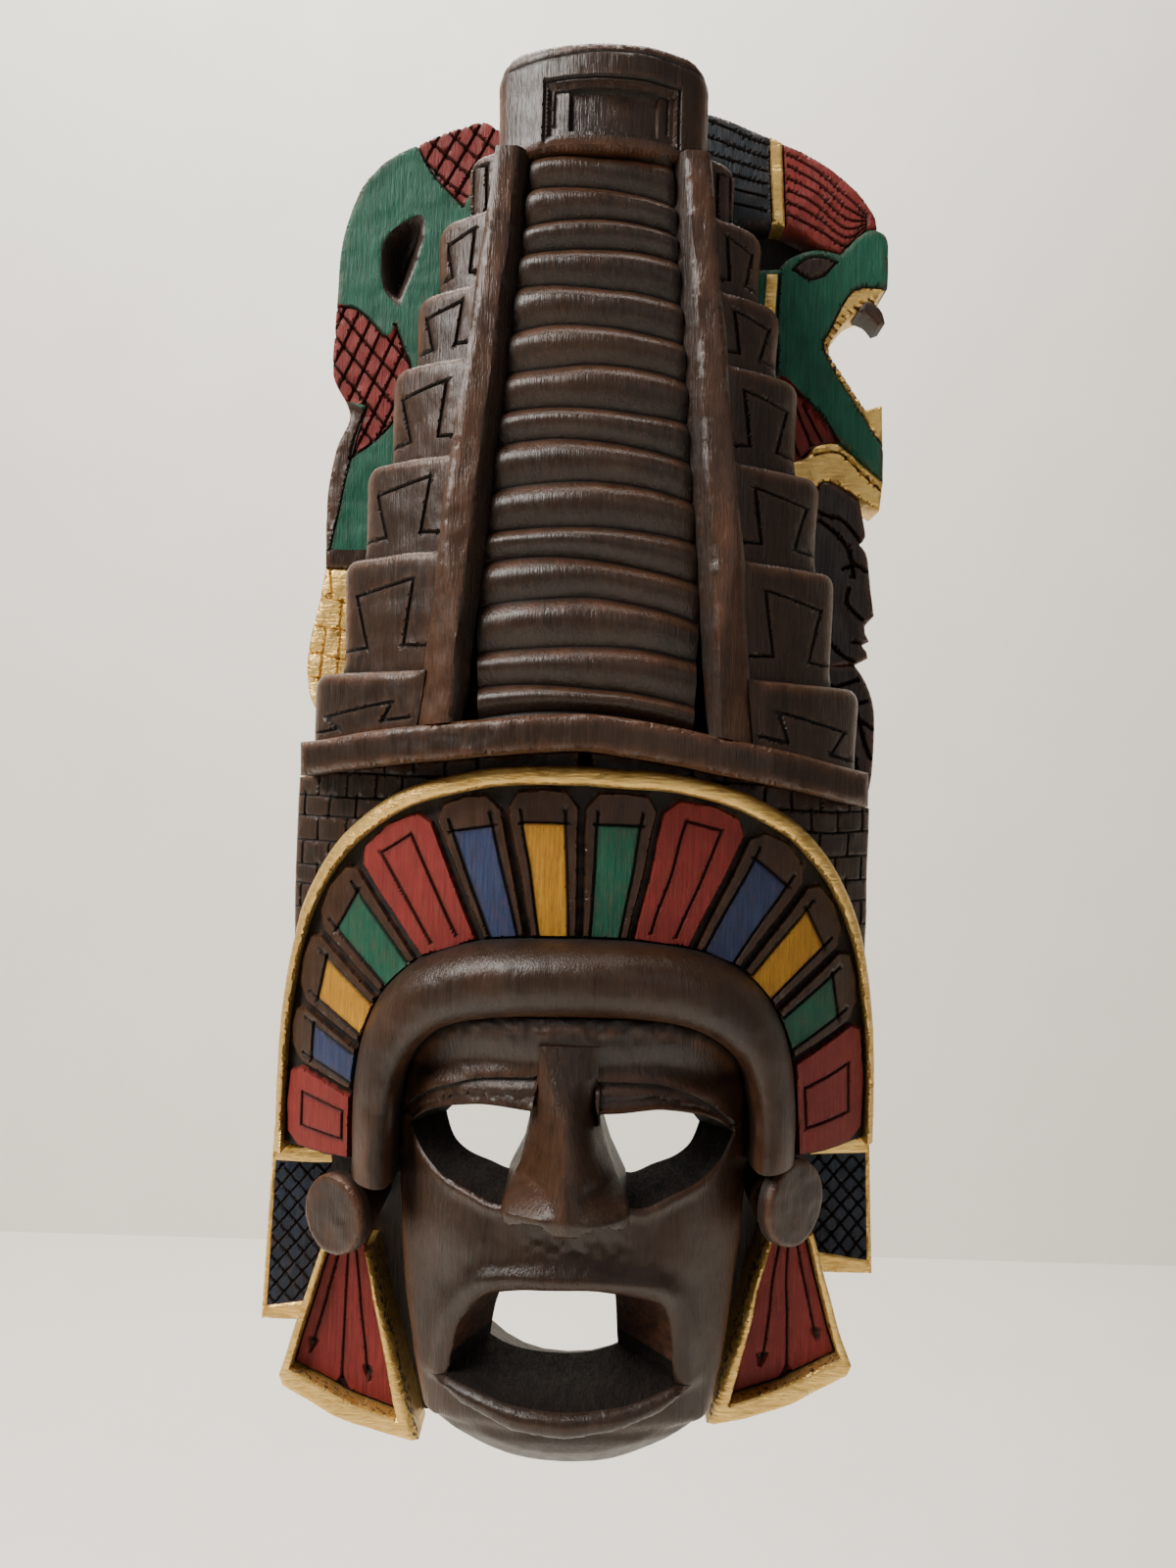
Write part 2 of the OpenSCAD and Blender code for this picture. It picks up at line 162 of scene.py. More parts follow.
def hatch(polygon, angle, spacing):
    """Parallel lines across a polygon, each cut off at its outline."""
    c, s = math.cos(math.radians(angle)), math.sin(math.radians(angle))
    turned = [(x * c + z * s, -x * s + z * c) for x, z in polygon]
    low, high = min(q[1] for q in turned), max(q[1] for q in turned)
    out, level_z = [], low + spacing * 0.5
    while level_z < high:
        cuts = []
        for (x0, z0), (x1, z1) in segments(turned):
            if (z0 > level_z) != (z1 > level_z):
                cuts.append(x0 + (x1 - x0) * (level_z - z0) / (z1 - z0))
        cuts.sort()
        for a, b in zip(cuts[::2], cuts[1::2]):
            if b - a > 2:
                out.append([(q * c - level_z * s, q * s + level_z * c) for q in (a + 0.6, b - 0.6)])
        level_z += spacing
    return out


def segments(points, closed=True):
    pairs = list(zip(points, points[1:]))
    return pairs + [(points[-1], points[0])] if closed else pairs


def distance(p, lines):
    """How far each point is from the nearest of the segments in lines."""
    best = np.full(len(p), 1e9)
    if not lines:
        return best
    a = np.array([s[0] for s in lines], float)
    b = np.array([s[1] for s in lines], float)
    ab = b - a
    length = np.maximum((ab ** 2).sum(1), 1e-12)
    block = 3000
    for i in range(0, len(p), block):
        q = p[i:i + block, None, :] - a[None]
        t = np.clip((q * ab[None]).sum(2) / length, 0, 1)
        gap = q - t[..., None] * ab[None]
        best[i:i + block] = np.sqrt((gap ** 2).sum(2).min(1))
    return best


def to_line(x, z, points, closed=True):
    """How far each (x, z) is from a line."""
    return distance(np.stack([x, z], 1), segments(points, closed))


def inside(p, polygon):
    hit = np.zeros(len(p), bool)
    for a, b in segments(polygon):
        if a[1] == b[1]:
            continue
        crosses = (a[1] > p[:, 1]) != (b[1] > p[:, 1])
        hit ^= crosses & (p[:, 0] < (b[0] - a[0]) * (p[:, 1] - a[1]) / (b[1] - a[1]) + a[0])
    return hit


def lumps(x, z, size, seed):
    """Smooth uneven values from -1 to 1, about size mm across."""
    gx, gz = x / size, z / size
    ix, iz = np.floor(gx), np.floor(gz)
    fx, fz = smooth(gx - ix), smooth(gz - iz)

    def corner(i, j):
        v = np.sin(i * 127.1 + j * 311.7 + seed * 74.7) * 43758.5453
        return 2 * (v - np.floor(v)) - 1
    low = corner(ix, iz) * (1 - fx) + corner(ix + 1, iz) * fx
    high = corner(ix, iz + 1) * (1 - fx) + corner(ix + 1, iz + 1) * fx
    return low * (1 - fz) + high * fz


def smooth(t):
    t = np.clip(t, 0, 1)
    return t * t * (3 - 2 * t)


def bell(t):
    return np.exp(-t ** 2)


def quarter_round(t):
    """What is lost at an edge: 1 at t 0, falling along a quarter circle to 0 at t 1."""
    return 1 - np.sqrt(np.clip(1 - (1 - np.clip(t, 0, 1)) ** 2, 0, 1))


def level(d):
    """A flat front or back at one depth."""
    return lambda x, z: np.full(len(x), float(d))


def log_front(crown, r):
    """Depth of an upright rounded front, like the outside of a log."""
    return lambda x, z: crown - r + np.sqrt(np.maximum(r * r - x * x, 1.0))


def stair_edge(z):
    return 40.5 + (23.5 - 40.5) * (z - 19) / 192


def rail_edge(z):
    return stair_edge(z) + 15.5 + (12.5 - 15.5) * (z - 19) / 192


def ledge_z(x, drop=0.0):
    return 23 - drop - 13.5 * (abs(x) / 101) ** 1.3 - 2.5 * x / 101


def ledge_line(x0, x1, drop=0.0, k=24):
    return [(x, ledge_z(x, drop)) for x in np.linspace(x0, x1, k).tolist()]


BLOCK = [(36, 251), (-36, 251), (-36, 212), (-84, 24), (-94, -40), (94, -40), (84, 24), (36, 212)]
LEDGE_CUT = [*ledge_line(-101, 101, 30), *ledge_line(101, -101)]


# ---- the carver ----

def triangulate(points, edges, keep):
    """Triangles over the points that respect the edges, where keep() says so."""
    got = delaunay_2d_cdt([Vector(p) for p in points], edges, [], 0, 1e-4, True)
    flat = np.array([(v.x, v.y) for v in got[0]])
    tri = np.array([f for f in got[2] if len(f) == 3], int)
    a, b, c = flat[tri[:, 0]], flat[tri[:, 1]], flat[tri[:, 2]]
    area = (b[:, 0] - a[:, 0]) * (c[:, 1] - a[:, 1]) - (b[:, 1] - a[:, 1]) * (c[:, 0] - a[:, 0])
    tri[area < 0] = tri[area < 0][:, ::-1]
    tri = tri[(np.abs(area) > 1e-6) & keep((a + b + c) / 3)]
    used = np.unique(tri)
    number = np.zeros(len(flat), int)
    number[used] = np.arange(len(used))
    return flat[used], number[tri], [got[3][v] for v in used.tolist()]


def grid(low, high, cell, seed):
    """A staggered, slightly shaken grid of points over a box."""
    rng = np.random.default_rng(seed)
    rows = []
    for j, z in enumerate(np.arange(low[1], high[1], cell * 0.87)):
        x = np.arange(low[0] + (j % 2) * cell / 2, high[0], cell)
        rows.append(np.stack([x, np.full(len(x), z)], 1))
    p = np.concatenate(rows)
    return p + rng.uniform(-0.2, 0.2, p.shape) * cell


def beside(line, closed, gap, step):
    """Points that run along a line at a distance, on its left."""
    pts = resample(line, step, closed)
    out = []
    for a, b in segments(pts, closed):
        a, b = Vector(a), Vector(b)
        u = (b - a).normalized()
        m = (a + b) / 2 + Vector((-u.y, u.x)) * gap
        out.append((m.x, m.y))
    return out


def plan_mesh(outline, cell, seed, holes, cuts, fields, grooves, creases, edge):
    """Flat triangle mesh of the plan with a vertex row on every line that matters."""
    loops = [outline, *holes, *cuts, *[f["poly"] for f in fields]]
    outline, holes = counter(outline), [counter(h) for h in holes]
    opens = [*[g[0] for g in grooves], *creases]
    points, edges = [], []
    for line, closed in [(q, True) for q in loops] + [(q, False) for q in opens]:
        pts = resample(line, cell, closed)
        first = len(points)
        points += pts
        count = len(pts) if closed else len(pts) - 1
        edges += [(first + i, first + (i + 1) % len(pts)) for i in range(count)]
    extra = []
    for loop in [outline, *[h[::-1] for h in holes]] if edge else []:
        for part in (0.12, 0.4, 1.0):
            extra += beside(loop, True, part * edge, cell)
    for f in fields:
        extra += beside(f["poly"], True, f["bevel"], cell)
    for line, width, _ in grooves:
        extra += beside(line, False, width / 2, cell) + beside(line[::-1], False, width / 2, cell)
    lines = [s for q in loops for s in segments(q)] + [s for q in opens for s in segments(q, False)]
    box = np.array(outline)

    def keep(p):
        ok = inside(p, outline)
        for hole in [*holes, *cuts]:
            ok &= ~inside(p, hole)
        return ok
    taken = set()
    for group, clear in ((np.array(extra).reshape(-1, 2), 0.12 * (edge or cell)),
                         (grid(box.min(0), box.max(0), cell, seed), 0.45 * cell)):
        if len(group):
            group = group[keep(group) & (distance(group, lines) > clear)]
        for q in group.tolist():
            key = (round(q[0] / (cell * 0.55)), round(q[1] / (cell * 0.55)))
            if key not in taken:
                taken.add(key)
                points.append(tuple(q))
    return triangulate(points, edges, keep)[:2]


class Solid:
    """Points with their depth, darkness (cuts and painted shade) and rubbing (partly painted highlight), and faces
    with their paint, of a mesh in the making.
    """

    def __init__(self):
        self.points, self.count, self.faces, self.index, self.mats = [], 0, [], [], []

    def add_points(self, x, z, d, cav, wear):
        """Adds the points and tells the number of the first."""
        self.points.append(np.stack(np.broadcast_arrays(x, z, d, cav, wear), 1))
        self.count += len(x)
        return self.count - len(x)

    def add_face(self, corners, paint):
        self.faces.append(corners)
        self.index.append(paint)

    def paint(self, mat):
        """The number of a material on this piece."""
        if mat not in self.mats:
            self.mats.append(mat)
        return self.mats.index(mat)


def lay_fields(p, d, cav, wear, fields):
    """Raised or sunk fields with a bevel round them."""
    for f in fields:
        gap = distance(p, segments(f["poly"]))
        within = inside(p, f["poly"]) | (gap < 1e-3)
        t = smooth(gap / f["bevel"]) * within
        d = d + f["rise"] * t
        # Sunk fields can carry painted shade in their hollow.
        cav = np.maximum(cav, f.get("cav", 0) * t)
        wear = np.maximum(wear, f.get("wear", 0) * t)
        if f["rise"] > 0.4:
            wear = np.maximum(wear, 0.8 * within * (1 - smooth((gap - 0.3) / 1.6)))
    return d, cav, wear


def cut_grooves(p, d, cav, wear, grooves):
    """V-shaped cuts, dark inside partly as painted shade, with a rubbed lip on either side."""
    for line, width, depth in grooves:
        gap = distance(p, segments(line, False))
        d = d - depth * np.clip(1 - 2 * gap / width, 0, 1)
        cav = np.maximum(cav, np.clip(1.35 - 2 * gap / width, 0, 1))
        wear = np.maximum(wear, 0.45 * bell((gap - width * 0.75) / (width * 0.35)))
    return d, cav, wear


def round_edges(p, d, cav, wear, lines, edge, drop, where):
    """Edges rounded over a width, by a drop, and rubbed; where() tells the share at a place."""
    gap = distance(p, lines)
    share = where(p[:, 0], p[:, 1]) if where else 1.0
    d = d - drop * quarter_round(gap / edge) * share
    return d, cav, np.maximum(wear, (1 - smooth((gap - 0.25 * edge) / (edge + 1.2))) * share)


def add_front(solid, flat, tri, mat, fields):
    """The front faces; tells the paint beside each of their directed edges."""
    paint = np.full(len(tri), solid.paint(mat))
    for f in fields:
        if f.get("mat"):
            paint[inside(flat[tri].mean(1), f["poly"])] = solid.paint(f["mat"])
    owner = {}
    for t, k in zip(tri.tolist(), paint.tolist()):
        solid.add_face(t, k)
        for a, b in segments(t):
            owner[(a, b)] = k
    return owner


def add_walls(solid, flat, d, owner, holes, back, wall_shade, wall_mat):
    """Two rings of wall from the front's rim to the back; tells the foot, its first number and its edges."""
    rim = [e for e in owner if e[::-1] not in owner]
    ring = sorted({v for e in rim for v in e})
    at = {v: i for i, v in enumerate(ring)}
    head = flat[ring]
    foot = head.copy()
    # Walls get painted shade and a little rubbing; an opening's tone sets both for its walls, as painted shade in
    # the eyes and a painted highlight on the mouth walls.
    tone, rubbed = np.full(len(ring), wall_shade), np.full(len(ring), 0.15)
    plain = solid.paint(wall_mat) if wall_mat else None
    lined = {}
    for hole in holes:
        on = distance(head, segments(hole["line"])) < 0.02
        foot[on] = [hole["foot"](*q) for q in head[on].tolist()]
        tone[on], rubbed[on] = hole["tone"]
        for v, z in zip(np.array(ring)[on].tolist(), head[on, 1].tolist()):
            lined[v] = solid.paint(hole["lining"](z))
    foot_d = back(foot[:, 0], foot[:, 1])
    firsts = []
    for part in (0.5, 1.0):
        x, z = (head + (foot - head) * part).T
        firsts.append(solid.add_points(x, z, d[ring] + (foot_d - d[ring]) * part, tone, rubbed))
    for a, b in rim:
        k = owner[(a, b)] if plain is None else plain
        if a in lined and b in lined:
            k = lined[a]
        up = (a, b)
        for first in firsts:
            down = (first + at[a], first + at[b])
            solid.add_face((up[1], up[0], down[0], down[1]), k)
            up = down
    return foot, firsts[-1], [(at[a], at[b]) for a, b in rim]


def add_back(solid, foot, base, edges, back, creases, cell, seed, mat):
    """The back face, flat or hollowed, that closes the walls' foot."""
    m, extra, more = len(foot), [], []
    if creases:
        for line in creases:
            pts = resample(line, cell * 1.6)
            more += [(m + len(extra) + i, m + len(extra) + (i + 1) % len(pts)) for i in range(len(pts))]
            extra += pts
        g = grid(foot.min(0), foot.max(0), cell * 1.8, seed + 1)
        limits = [(tuple(foot[i]), tuple(foot[j])) for i, j in edges]
        limits += [s for q in creases for s in segments(q)]
        extra += [tuple(q) for q in g[distance(g, limits) > cell * 0.7].tolist()]

    def behind(p):
        odd = np.zeros(len(p), bool)
        for i, j in edges:
            (ax, az), (bx, bz) = foot[i], foot[j]
            if az != bz:
                crosses = (az > p[:, 1]) != (bz > p[:, 1])
                odd ^= crosses & (p[:, 0] < (bx - ax) * (p[:, 1] - az) / (bz - az) + ax)
        return odd
    flat, tri, ids = triangulate([tuple(q) for q in foot.tolist()] + extra, edges + more, behind)
    number, fresh = {}, []
    for v in range(len(flat)):
        known = [q for q in ids[v] if q < m]
        number[v] = base + known[0] if known else solid.count + len(fresh)
        if not known:
            fresh.append(flat[v])
    if fresh:
        x, z = np.array(fresh).T
        solid.add_points(x, z, back(x, z) + 0.35 * lumps(x, z, 8, seed + 9), 0.35, 0.25)
    paint = solid.paint(mat)
    for t in tri.tolist():
        q = tuple(number[v] for v in t[::-1])
        if len(set(q)) == 3:
            solid.add_face(q, paint)


def warp(x, z):
    """Hand-cut lines wander: the same small shift for every piece at one place."""
    return (x + 0.4 * lumps(x, z, 15, 1) * np.clip((112 - abs(x)) / 6, 0, 1), z + 0.4 * lumps(x, z, 15, 2))


def build(name, solid, place, sharp):
    x, z, d, cav, wear = np.concatenate(solid.points).T
    if place is None:
        x, z = warp(x, z)
    mesh = bpy.data.meshes.new(name)
    mesh.from_pydata((np.stack([x, -d, z], 1) / 1000).tolist(), [], solid.faces)
    if place is not None:
        mesh.transform(place)
    for mat in solid.mats:
        mesh.materials.append(mat)
    mesh.polygons.foreach_set("material_index", solid.index)
    for key, values in (("cav", cav), ("wear", wear)):
        layer = mesh.attributes.new(key, "FLOAT", "POINT")
        layer.data.foreach_set("value", np.clip(values, 0, 1).astype(np.float32))
    mesh.shade_smooth()
    mesh.set_sharp_from_angle(angle=math.radians(sharp))
    mesh.validate()
    mesh.update()
    obj = bpy.data.objects.new(name, mesh)
    bpy.context.collection.objects.link(obj)
    return obj


def carve(name, outline, front, mat, replaces, slot, floor=BOARD - 0.5, cell=1.6, holes=(), cuts=(),
          fields=(), grooves=(), creases=(), edge=1.5, drop=None, edge_where=None, marks=0.22, shape=None,
          back=None, back_creases=(), wall_shade=0.75, wall_mat=None, place=None, seed=1, sharp=38):
    """A carved piece: front with raised fields and cut grooves, walls and a back, as one closed mesh."""
    hole_lines = [h["line"] for h in holes]
    flat, tri = plan_mesh(outline, cell, seed, hole_lines, cuts, fields, grooves, creases, edge)
    x, z = flat[:, 0], flat[:, 1]
    look = front(x, z), np.zeros(len(flat)), np.zeros(len(flat))
    look = lay_fields(flat, *look, fields)
    look = cut_grooves(flat, *look, grooves)
    if edge:
        lines = [s for q in [outline, *hole_lines] for s in segments(q)]
        look = round_edges(flat, *look, lines, edge, drop or edge, edge_where)
    if shape:
        look = shape(x, z, *look)
    d, cav, wear = look
    d = d + marks * (lumps(x, z, 7, seed) + 0.6 * lumps(x, z, 3, seed + 5))
    back = back or level(floor)
    solid = Solid()
    solid.add_points(x, z, d, cav, wear)
    owner = add_front(solid, flat, tri, mat, fields)
    foot, base, edges = add_walls(solid, flat, d, owner, holes, back, wall_shade, wall_mat)
    add_back(solid, foot, base, edges, back, back_creases, cell, seed, wall_mat or WOOD)
    obj = build(name, solid, place, sharp)
    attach(obj, "mask")
    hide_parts(*replaces)


# ---- materials ----

class Shader:
    """A node material in the making, with coordinates in millimetres."""

    def __init__(self, name, specular=None):
        self.mat = bpy.data.materials.new(name)
        self.mat.use_nodes = True
        self.tree = self.mat.node_tree
        self.tree.nodes.clear()
        out = self.add("OutputMaterial")
        self.bsdf = self.add("BsdfPrincipled")
        self.tree.links.new(self.bsdf.outputs[0], out.inputs[0])
        self.coord = self.add("TexCoord").outputs["Object"]
        if specular is not None:
            self.bsdf.inputs["Specular IOR Level"].default_value = specular

    def add(self, kind, sockets=None, **props):
        node = self.tree.nodes.new("ShaderNode" + kind)
        for key, value in props.items():
            setattr(node, key, value)
        for key, value in (sockets or {}).items():
            self.put(node.inputs[key], value)
        return node

    def put(self, socket, value):
        if isinstance(value, bpy.types.NodeSocket):
            self.tree.links.new(value, socket)
        elif isinstance(value, tuple) and len(value) == 3 and socket.type == "RGBA":
            socket.default_value = (*value, 1)
        else:
            socket.default_value = value

    def noise(self, size, detail=3.0, rough=0.55):
        """Noise about size mm across, or across each axis."""
        size = size if isinstance(size, tuple) else (size,) * 3
        m = self.add("Mapping", {"Vector": self.coord, "Scale": tuple(1000 / s for s in size)})
        sockets = {"Vector": m.outputs[0], "Scale": 1.0, "Detail": detail, "Roughness": rough}
        return self.add("TexNoise", sockets).outputs[0]

    def attr(self, name):
        return self.add("Attribute", attribute_name=name).outputs["Fac"]

    def spread(self, value, low, high, to_low=0.0, to_high=1.0):
        return self.add("MapRange", {0: value, 1: low, 2: high, 3: to_low, 4: to_high}).outputs[0]

    def maths(self, op, a, b, clamp=False):
        return self.add("Math", {0: a, 1: b}, operation=op, use_clamp=clamp).outputs[0]

    def mix(self, fac, a, b):
        return self.add("Mix", {0: fac, 6: a, 7: b}, data_type="RGBA").outputs[2]

    def darken_cuts_and_shade(self, colour, share, dark):
        """The colour with dark in the cuts and painted shade on walls and in hollows."""
        return self.mix(self.maths("MULTIPLY", self.attr("cav"), share, True), colour, dark)

    def bump(self, heights, size):
        """Relief from (height, share) pairs, size metres high."""
        total = heights[0][0] if heights[0][1] == 1 else self.maths("MULTIPLY", *heights[0])
        for h, k in heights[1:]:
            total = self.maths("ADD", total, self.maths("MULTIPLY", h, k))
        node = self.add("Bump", {"Height": total, "Distance": size, "Strength": 1.0})
        self.put(self.bsdf.inputs["Normal"], node.outputs[0])

    def done(self, colour, rough, metallic=None):
        self.put(self.bsdf.inputs["Base Color"], colour)
        self.put(self.bsdf.inputs["Roughness"], rough)
        if metallic is not None:
            self.put(self.bsdf.inputs["Metallic"], metallic)
        return self.mat


def stained_wood():
    """Carob-dark stain over close-grained wood: rubbed red on the edges and, on a few lit faces, as a painted
    highlight; black in the cuts and under painted shade.
    """
    s = Shader("stained_wood", 0.36)
    grain, fine = s.noise((1.3, 1.3, 22.0), 4), s.noise((0.5, 0.5, 6.0), 3)
    patch, rub = s.noise(34.0, 3), s.noise((5.0, 5.0, 9.0), 4)
    dark = s.mix(s.spread(grain, 0.3, 0.72), (0.0080, 0.0042, 0.0024), (0.0262, 0.0130, 0.0070))
    colour = s.mix(s.spread(patch, 0.42, 0.72, 0, 0.5), dark, (0.042, 0.019, 0.0092))
    # Red bare wood where rubbed, and on a few lit faces as a painted highlight.
    worn_and_lit = s.maths("MULTIPLY", s.attr("wear"), s.spread(rub, 0.3, 0.7, 0.25, 1.0))
    bare = s.mix(fine, (0.0465, 0.01736, 0.00868), (0.1302, 0.0527, 0.02232))
    colour = s.mix(s.maths("MULTIPLY", worn_and_lit, 0.85, True), colour, bare)
    # Near black in the cuts and where painted shade is laid.
    colour = s.darken_cuts_and_shade(colour, 0.9, (0.006, 0.004, 0.003))
    uneven = s.maths("ADD", s.maths("MULTIPLY", fine, 0.5), s.maths("MULTIPLY", rub, 0.5))
    rough = s.spread(uneven, 0.3, 0.7, 0.26, 0.46)
    rough = s.maths("ADD", rough, s.maths("MULTIPLY", s.attr("cav"), 0.3), True)
    s.bump([(grain, 0.5), (fine, 0.45), (rub, 0.7)], 0.0004)
    return s.done(colour, rough)


def cut_wood(name, light, deep):
    """Rough gouged wood inside an opening, with the tool's strokes running back; its light and deep colours make
    one copy painted shade and another painted light.
    """
    s = Shader(name, 0.15)
    stroke, fine = s.noise((2.6, 11.0, 3.0), 4), s.noise((0.7, 3.0, 0.8), 4)
    colour = s.mix(s.spread(stroke, 0.3, 0.7), deep, light)
    colour = s.mix(s.spread(fine, 0.45, 0.75, 0, 0.6), colour, deep)
    s.bump([(stroke, 1.0), (fine, 0.5)], 0.0012)
    return s.done(colour, s.spread(fine, 0.3, 0.7, 0.75, 0.95))


def painted_wood(name, light, deep):
    """Thin brushed paint that lets the grain show, rubbed through along the edges and in places as a painted
    highlight; dark in the cuts and under painted shade.
    """
    s = Shader(name, 0.22)
    grain, fine = s.noise((0.9, 0.9, 16.0), 4), s.noise((0.4, 0.4, 3.5), 3)
    patch, chip = s.noise(12.0, 4), s.noise((2.2, 2.2, 5.0), 5, 0.7)
    colour = s.mix(s.spread(grain, 0.3, 0.7), deep, light)
    colour = s.mix(s.spread(patch, 0.35, 0.75, 0, 0.6), colour, deep)
    thin = s.maths("MULTIPLY", s.spread(chip, 0.6, 0.72), 0.35)
    # Paint rubbed through to wood where rubbed, and on a few lit faces as a painted highlight.
    worn_and_lit = s.maths("MULTIPLY", s.maths("MULTIPLY", s.attr("wear"), s.spread(chip, 0.42, 0.62)), 0.5)
    colour = s.mix(s.maths("ADD", worn_and_lit, thin, True), colour, (0.1, 0.045, 0.025))
    # Near black in the cuts and where painted shade is laid.
    colour = s.darken_cuts_and_shade(colour, 0.95, (0.009, 0.006, 0.004))
    s.bump([(grain, 0.6), (fine, 0.6), (chip, 0.4)], 0.00035)
    return s.done(colour, s.spread(fine, 0.3, 0.7, 0.45, 0.62))


def gold_paint():
    """Brushed gilt paint, uneven in gloss and flaked to dark wood in the cuts, more so where painted shade is laid.
    """
    s = Shader("gold_paint")
    brush, fine = s.noise((6.0, 6.0, 1.2), 4), s.noise(0.8, 4)
    patch, flake = s.noise(9.0, 3), s.noise((1.8, 1.8, 2.6), 6, 0.7)
    colour = s.mix(s.spread(patch, 0.3, 0.7), (0.52, 0.3, 0.07), (0.74, 0.48, 0.14))
    colour = s.mix(s.spread(brush, 0.35, 0.7, 0, 0.5), colour, (0.86, 0.62, 0.24))
    # More flaking to dark wood in the cuts and where painted shade is laid.
    lost = s.spread(s.maths("ADD", flake, s.maths("MULTIPLY", s.attr("cav"), 0.32)), 0.68, 0.76)
    colour = s.mix(lost, colour, (0.045, 0.022, 0.012))
    s.bump([(brush, 0.8), (fine, 0.25), (patch, 1.0)], 0.0006)
    return s.done(colour, s.spread(fine, 0.3, 0.7, 0.3, 0.5), s.spread(lost, 0, 1, 0.82, 0.0))


def steel_wire():
    s = Shader("steel_wire")
    fine, patch = s.noise(0.35, 4), s.noise(2.5, 4)
    colour = s.mix(s.spread(patch, 0.35, 0.7), (0.5, 0.5, 0.48), (0.7, 0.7, 0.69))
    colour = s.mix(s.spread(fine, 0.62, 0.75, 0, 0.5), colour, (0.2, 0.17, 0.14))
    s.bump([(fine, 1)], 0.00006)
    return s.done(colour, s.spread(patch, 0.3, 0.7, 0.28, 0.5), s.spread(fine, 0.6, 0.8, 1.0, 0.6))


def plain_stage():
    s = Shader("pale_stage")
    colour = s.mix(s.spread(s.noise(160.0, 3), 0.3, 0.7), (0.86, 0.83, 0.76), (0.83, 0.8, 0.73))
    return s.done(colour, s.spread(s.noise(40.0, 3), 0.3, 0.7, 0.7, 0.85))


WOOD = stained_wood()
RED = painted_wood("red_paint", (0.215, 0.0245, 0.0205), (0.115, 0.0125, 0.0118))
BLUE = painted_wood("blue_paint", (0.03, 0.0468, 0.114), (0.0132, 0.0204, 0.051))
YELLOW = painted_wood("yellow_paint", (0.432, 0.2232, 0.018), (0.2592, 0.1116, 0.01008))
GREEN = painted_wood("green_paint", (0.0125, 0.096, 0.055), (0.0052, 0.045, 0.026))
NAVY = painted_wood("navy_paint", (0.018, 0.029, 0.05), (0.007, 0.0115, 0.0205))
SLATE = painted_wood("slate_paint", (0.0165, 0.0225, 0.0285), (0.0062, 0.0085, 0.0105))
GOLD = gold_paint()
# Linings for the openings: a near-black copy as painted shade and a red-brown copy as painted light on the lit
# mouth walls.
SHADED_CUT = cut_wood("shaded_cut", (0.012, 0.007, 0.005), (0.003, 0.002, 0.0015))
LIT_CUT = cut_wood("lit_cut", (0.075, 0.03, 0.016), (0.02, 0.009, 0.006))
STEEL = steel_wire()
PAINTS = [(RED, "red_paint"), (BLUE, "blue_paint"), (YELLOW, "yellow_paint"), (GREEN, "green_paint")]


# ---- pyramid ----

def temple():
    outline = [(36, 210), (36, 238)] + [(36 - 8 + 8 * math.cos(a), 237.6 + 8 * math.sin(a))
                                        for a in (0.3, 0.7, 1.1, 1.5)]
    outline = outline + mirror(outline)
    frame_in = [(-19, 214), (25, 214), (25, 233), (-19, 233)]
    door = [(-11.5, 216.5), (18.5, 216.5), (18.5, 231), (-11.5, 231)]
    step = [(-16, 219), (-16, 230.5), (21.5, 230.5), (21.5, 219)]
    carve("temple_carved", outline, log_front(80, 53), WOOD, ["temple"], "stained_wood", edge=3.0, cell=1.5,
          fields=[dict(poly=frame_in, rise=-2.6, bevel=1.4), dict(poly=door, rise=-2.2, bevel=1.0)],
          grooves=[([(-19.5, 213.5), (-19.5, 233.5), (25.5, 233.5), (25.5, 213.5)], 1.8, 1.4),
                   (step, 1.2, 0.8), ([(-33, 240), (0, 242), (33, 241)], 1.0, 0.4)], seed=3)


def stair_profile(t):
    """Depth lost along one course, from its foot (t 0) to its head (t 1)."""
    face = 4.0 * (1 - np.clip(t / 0.58, 0, 1)) ** 1.6
    lip = 3.8 * np.clip((t - 0.58) / 0.42, 0, 1) ** 2
    return np.where(t < 0.58, face, lip)


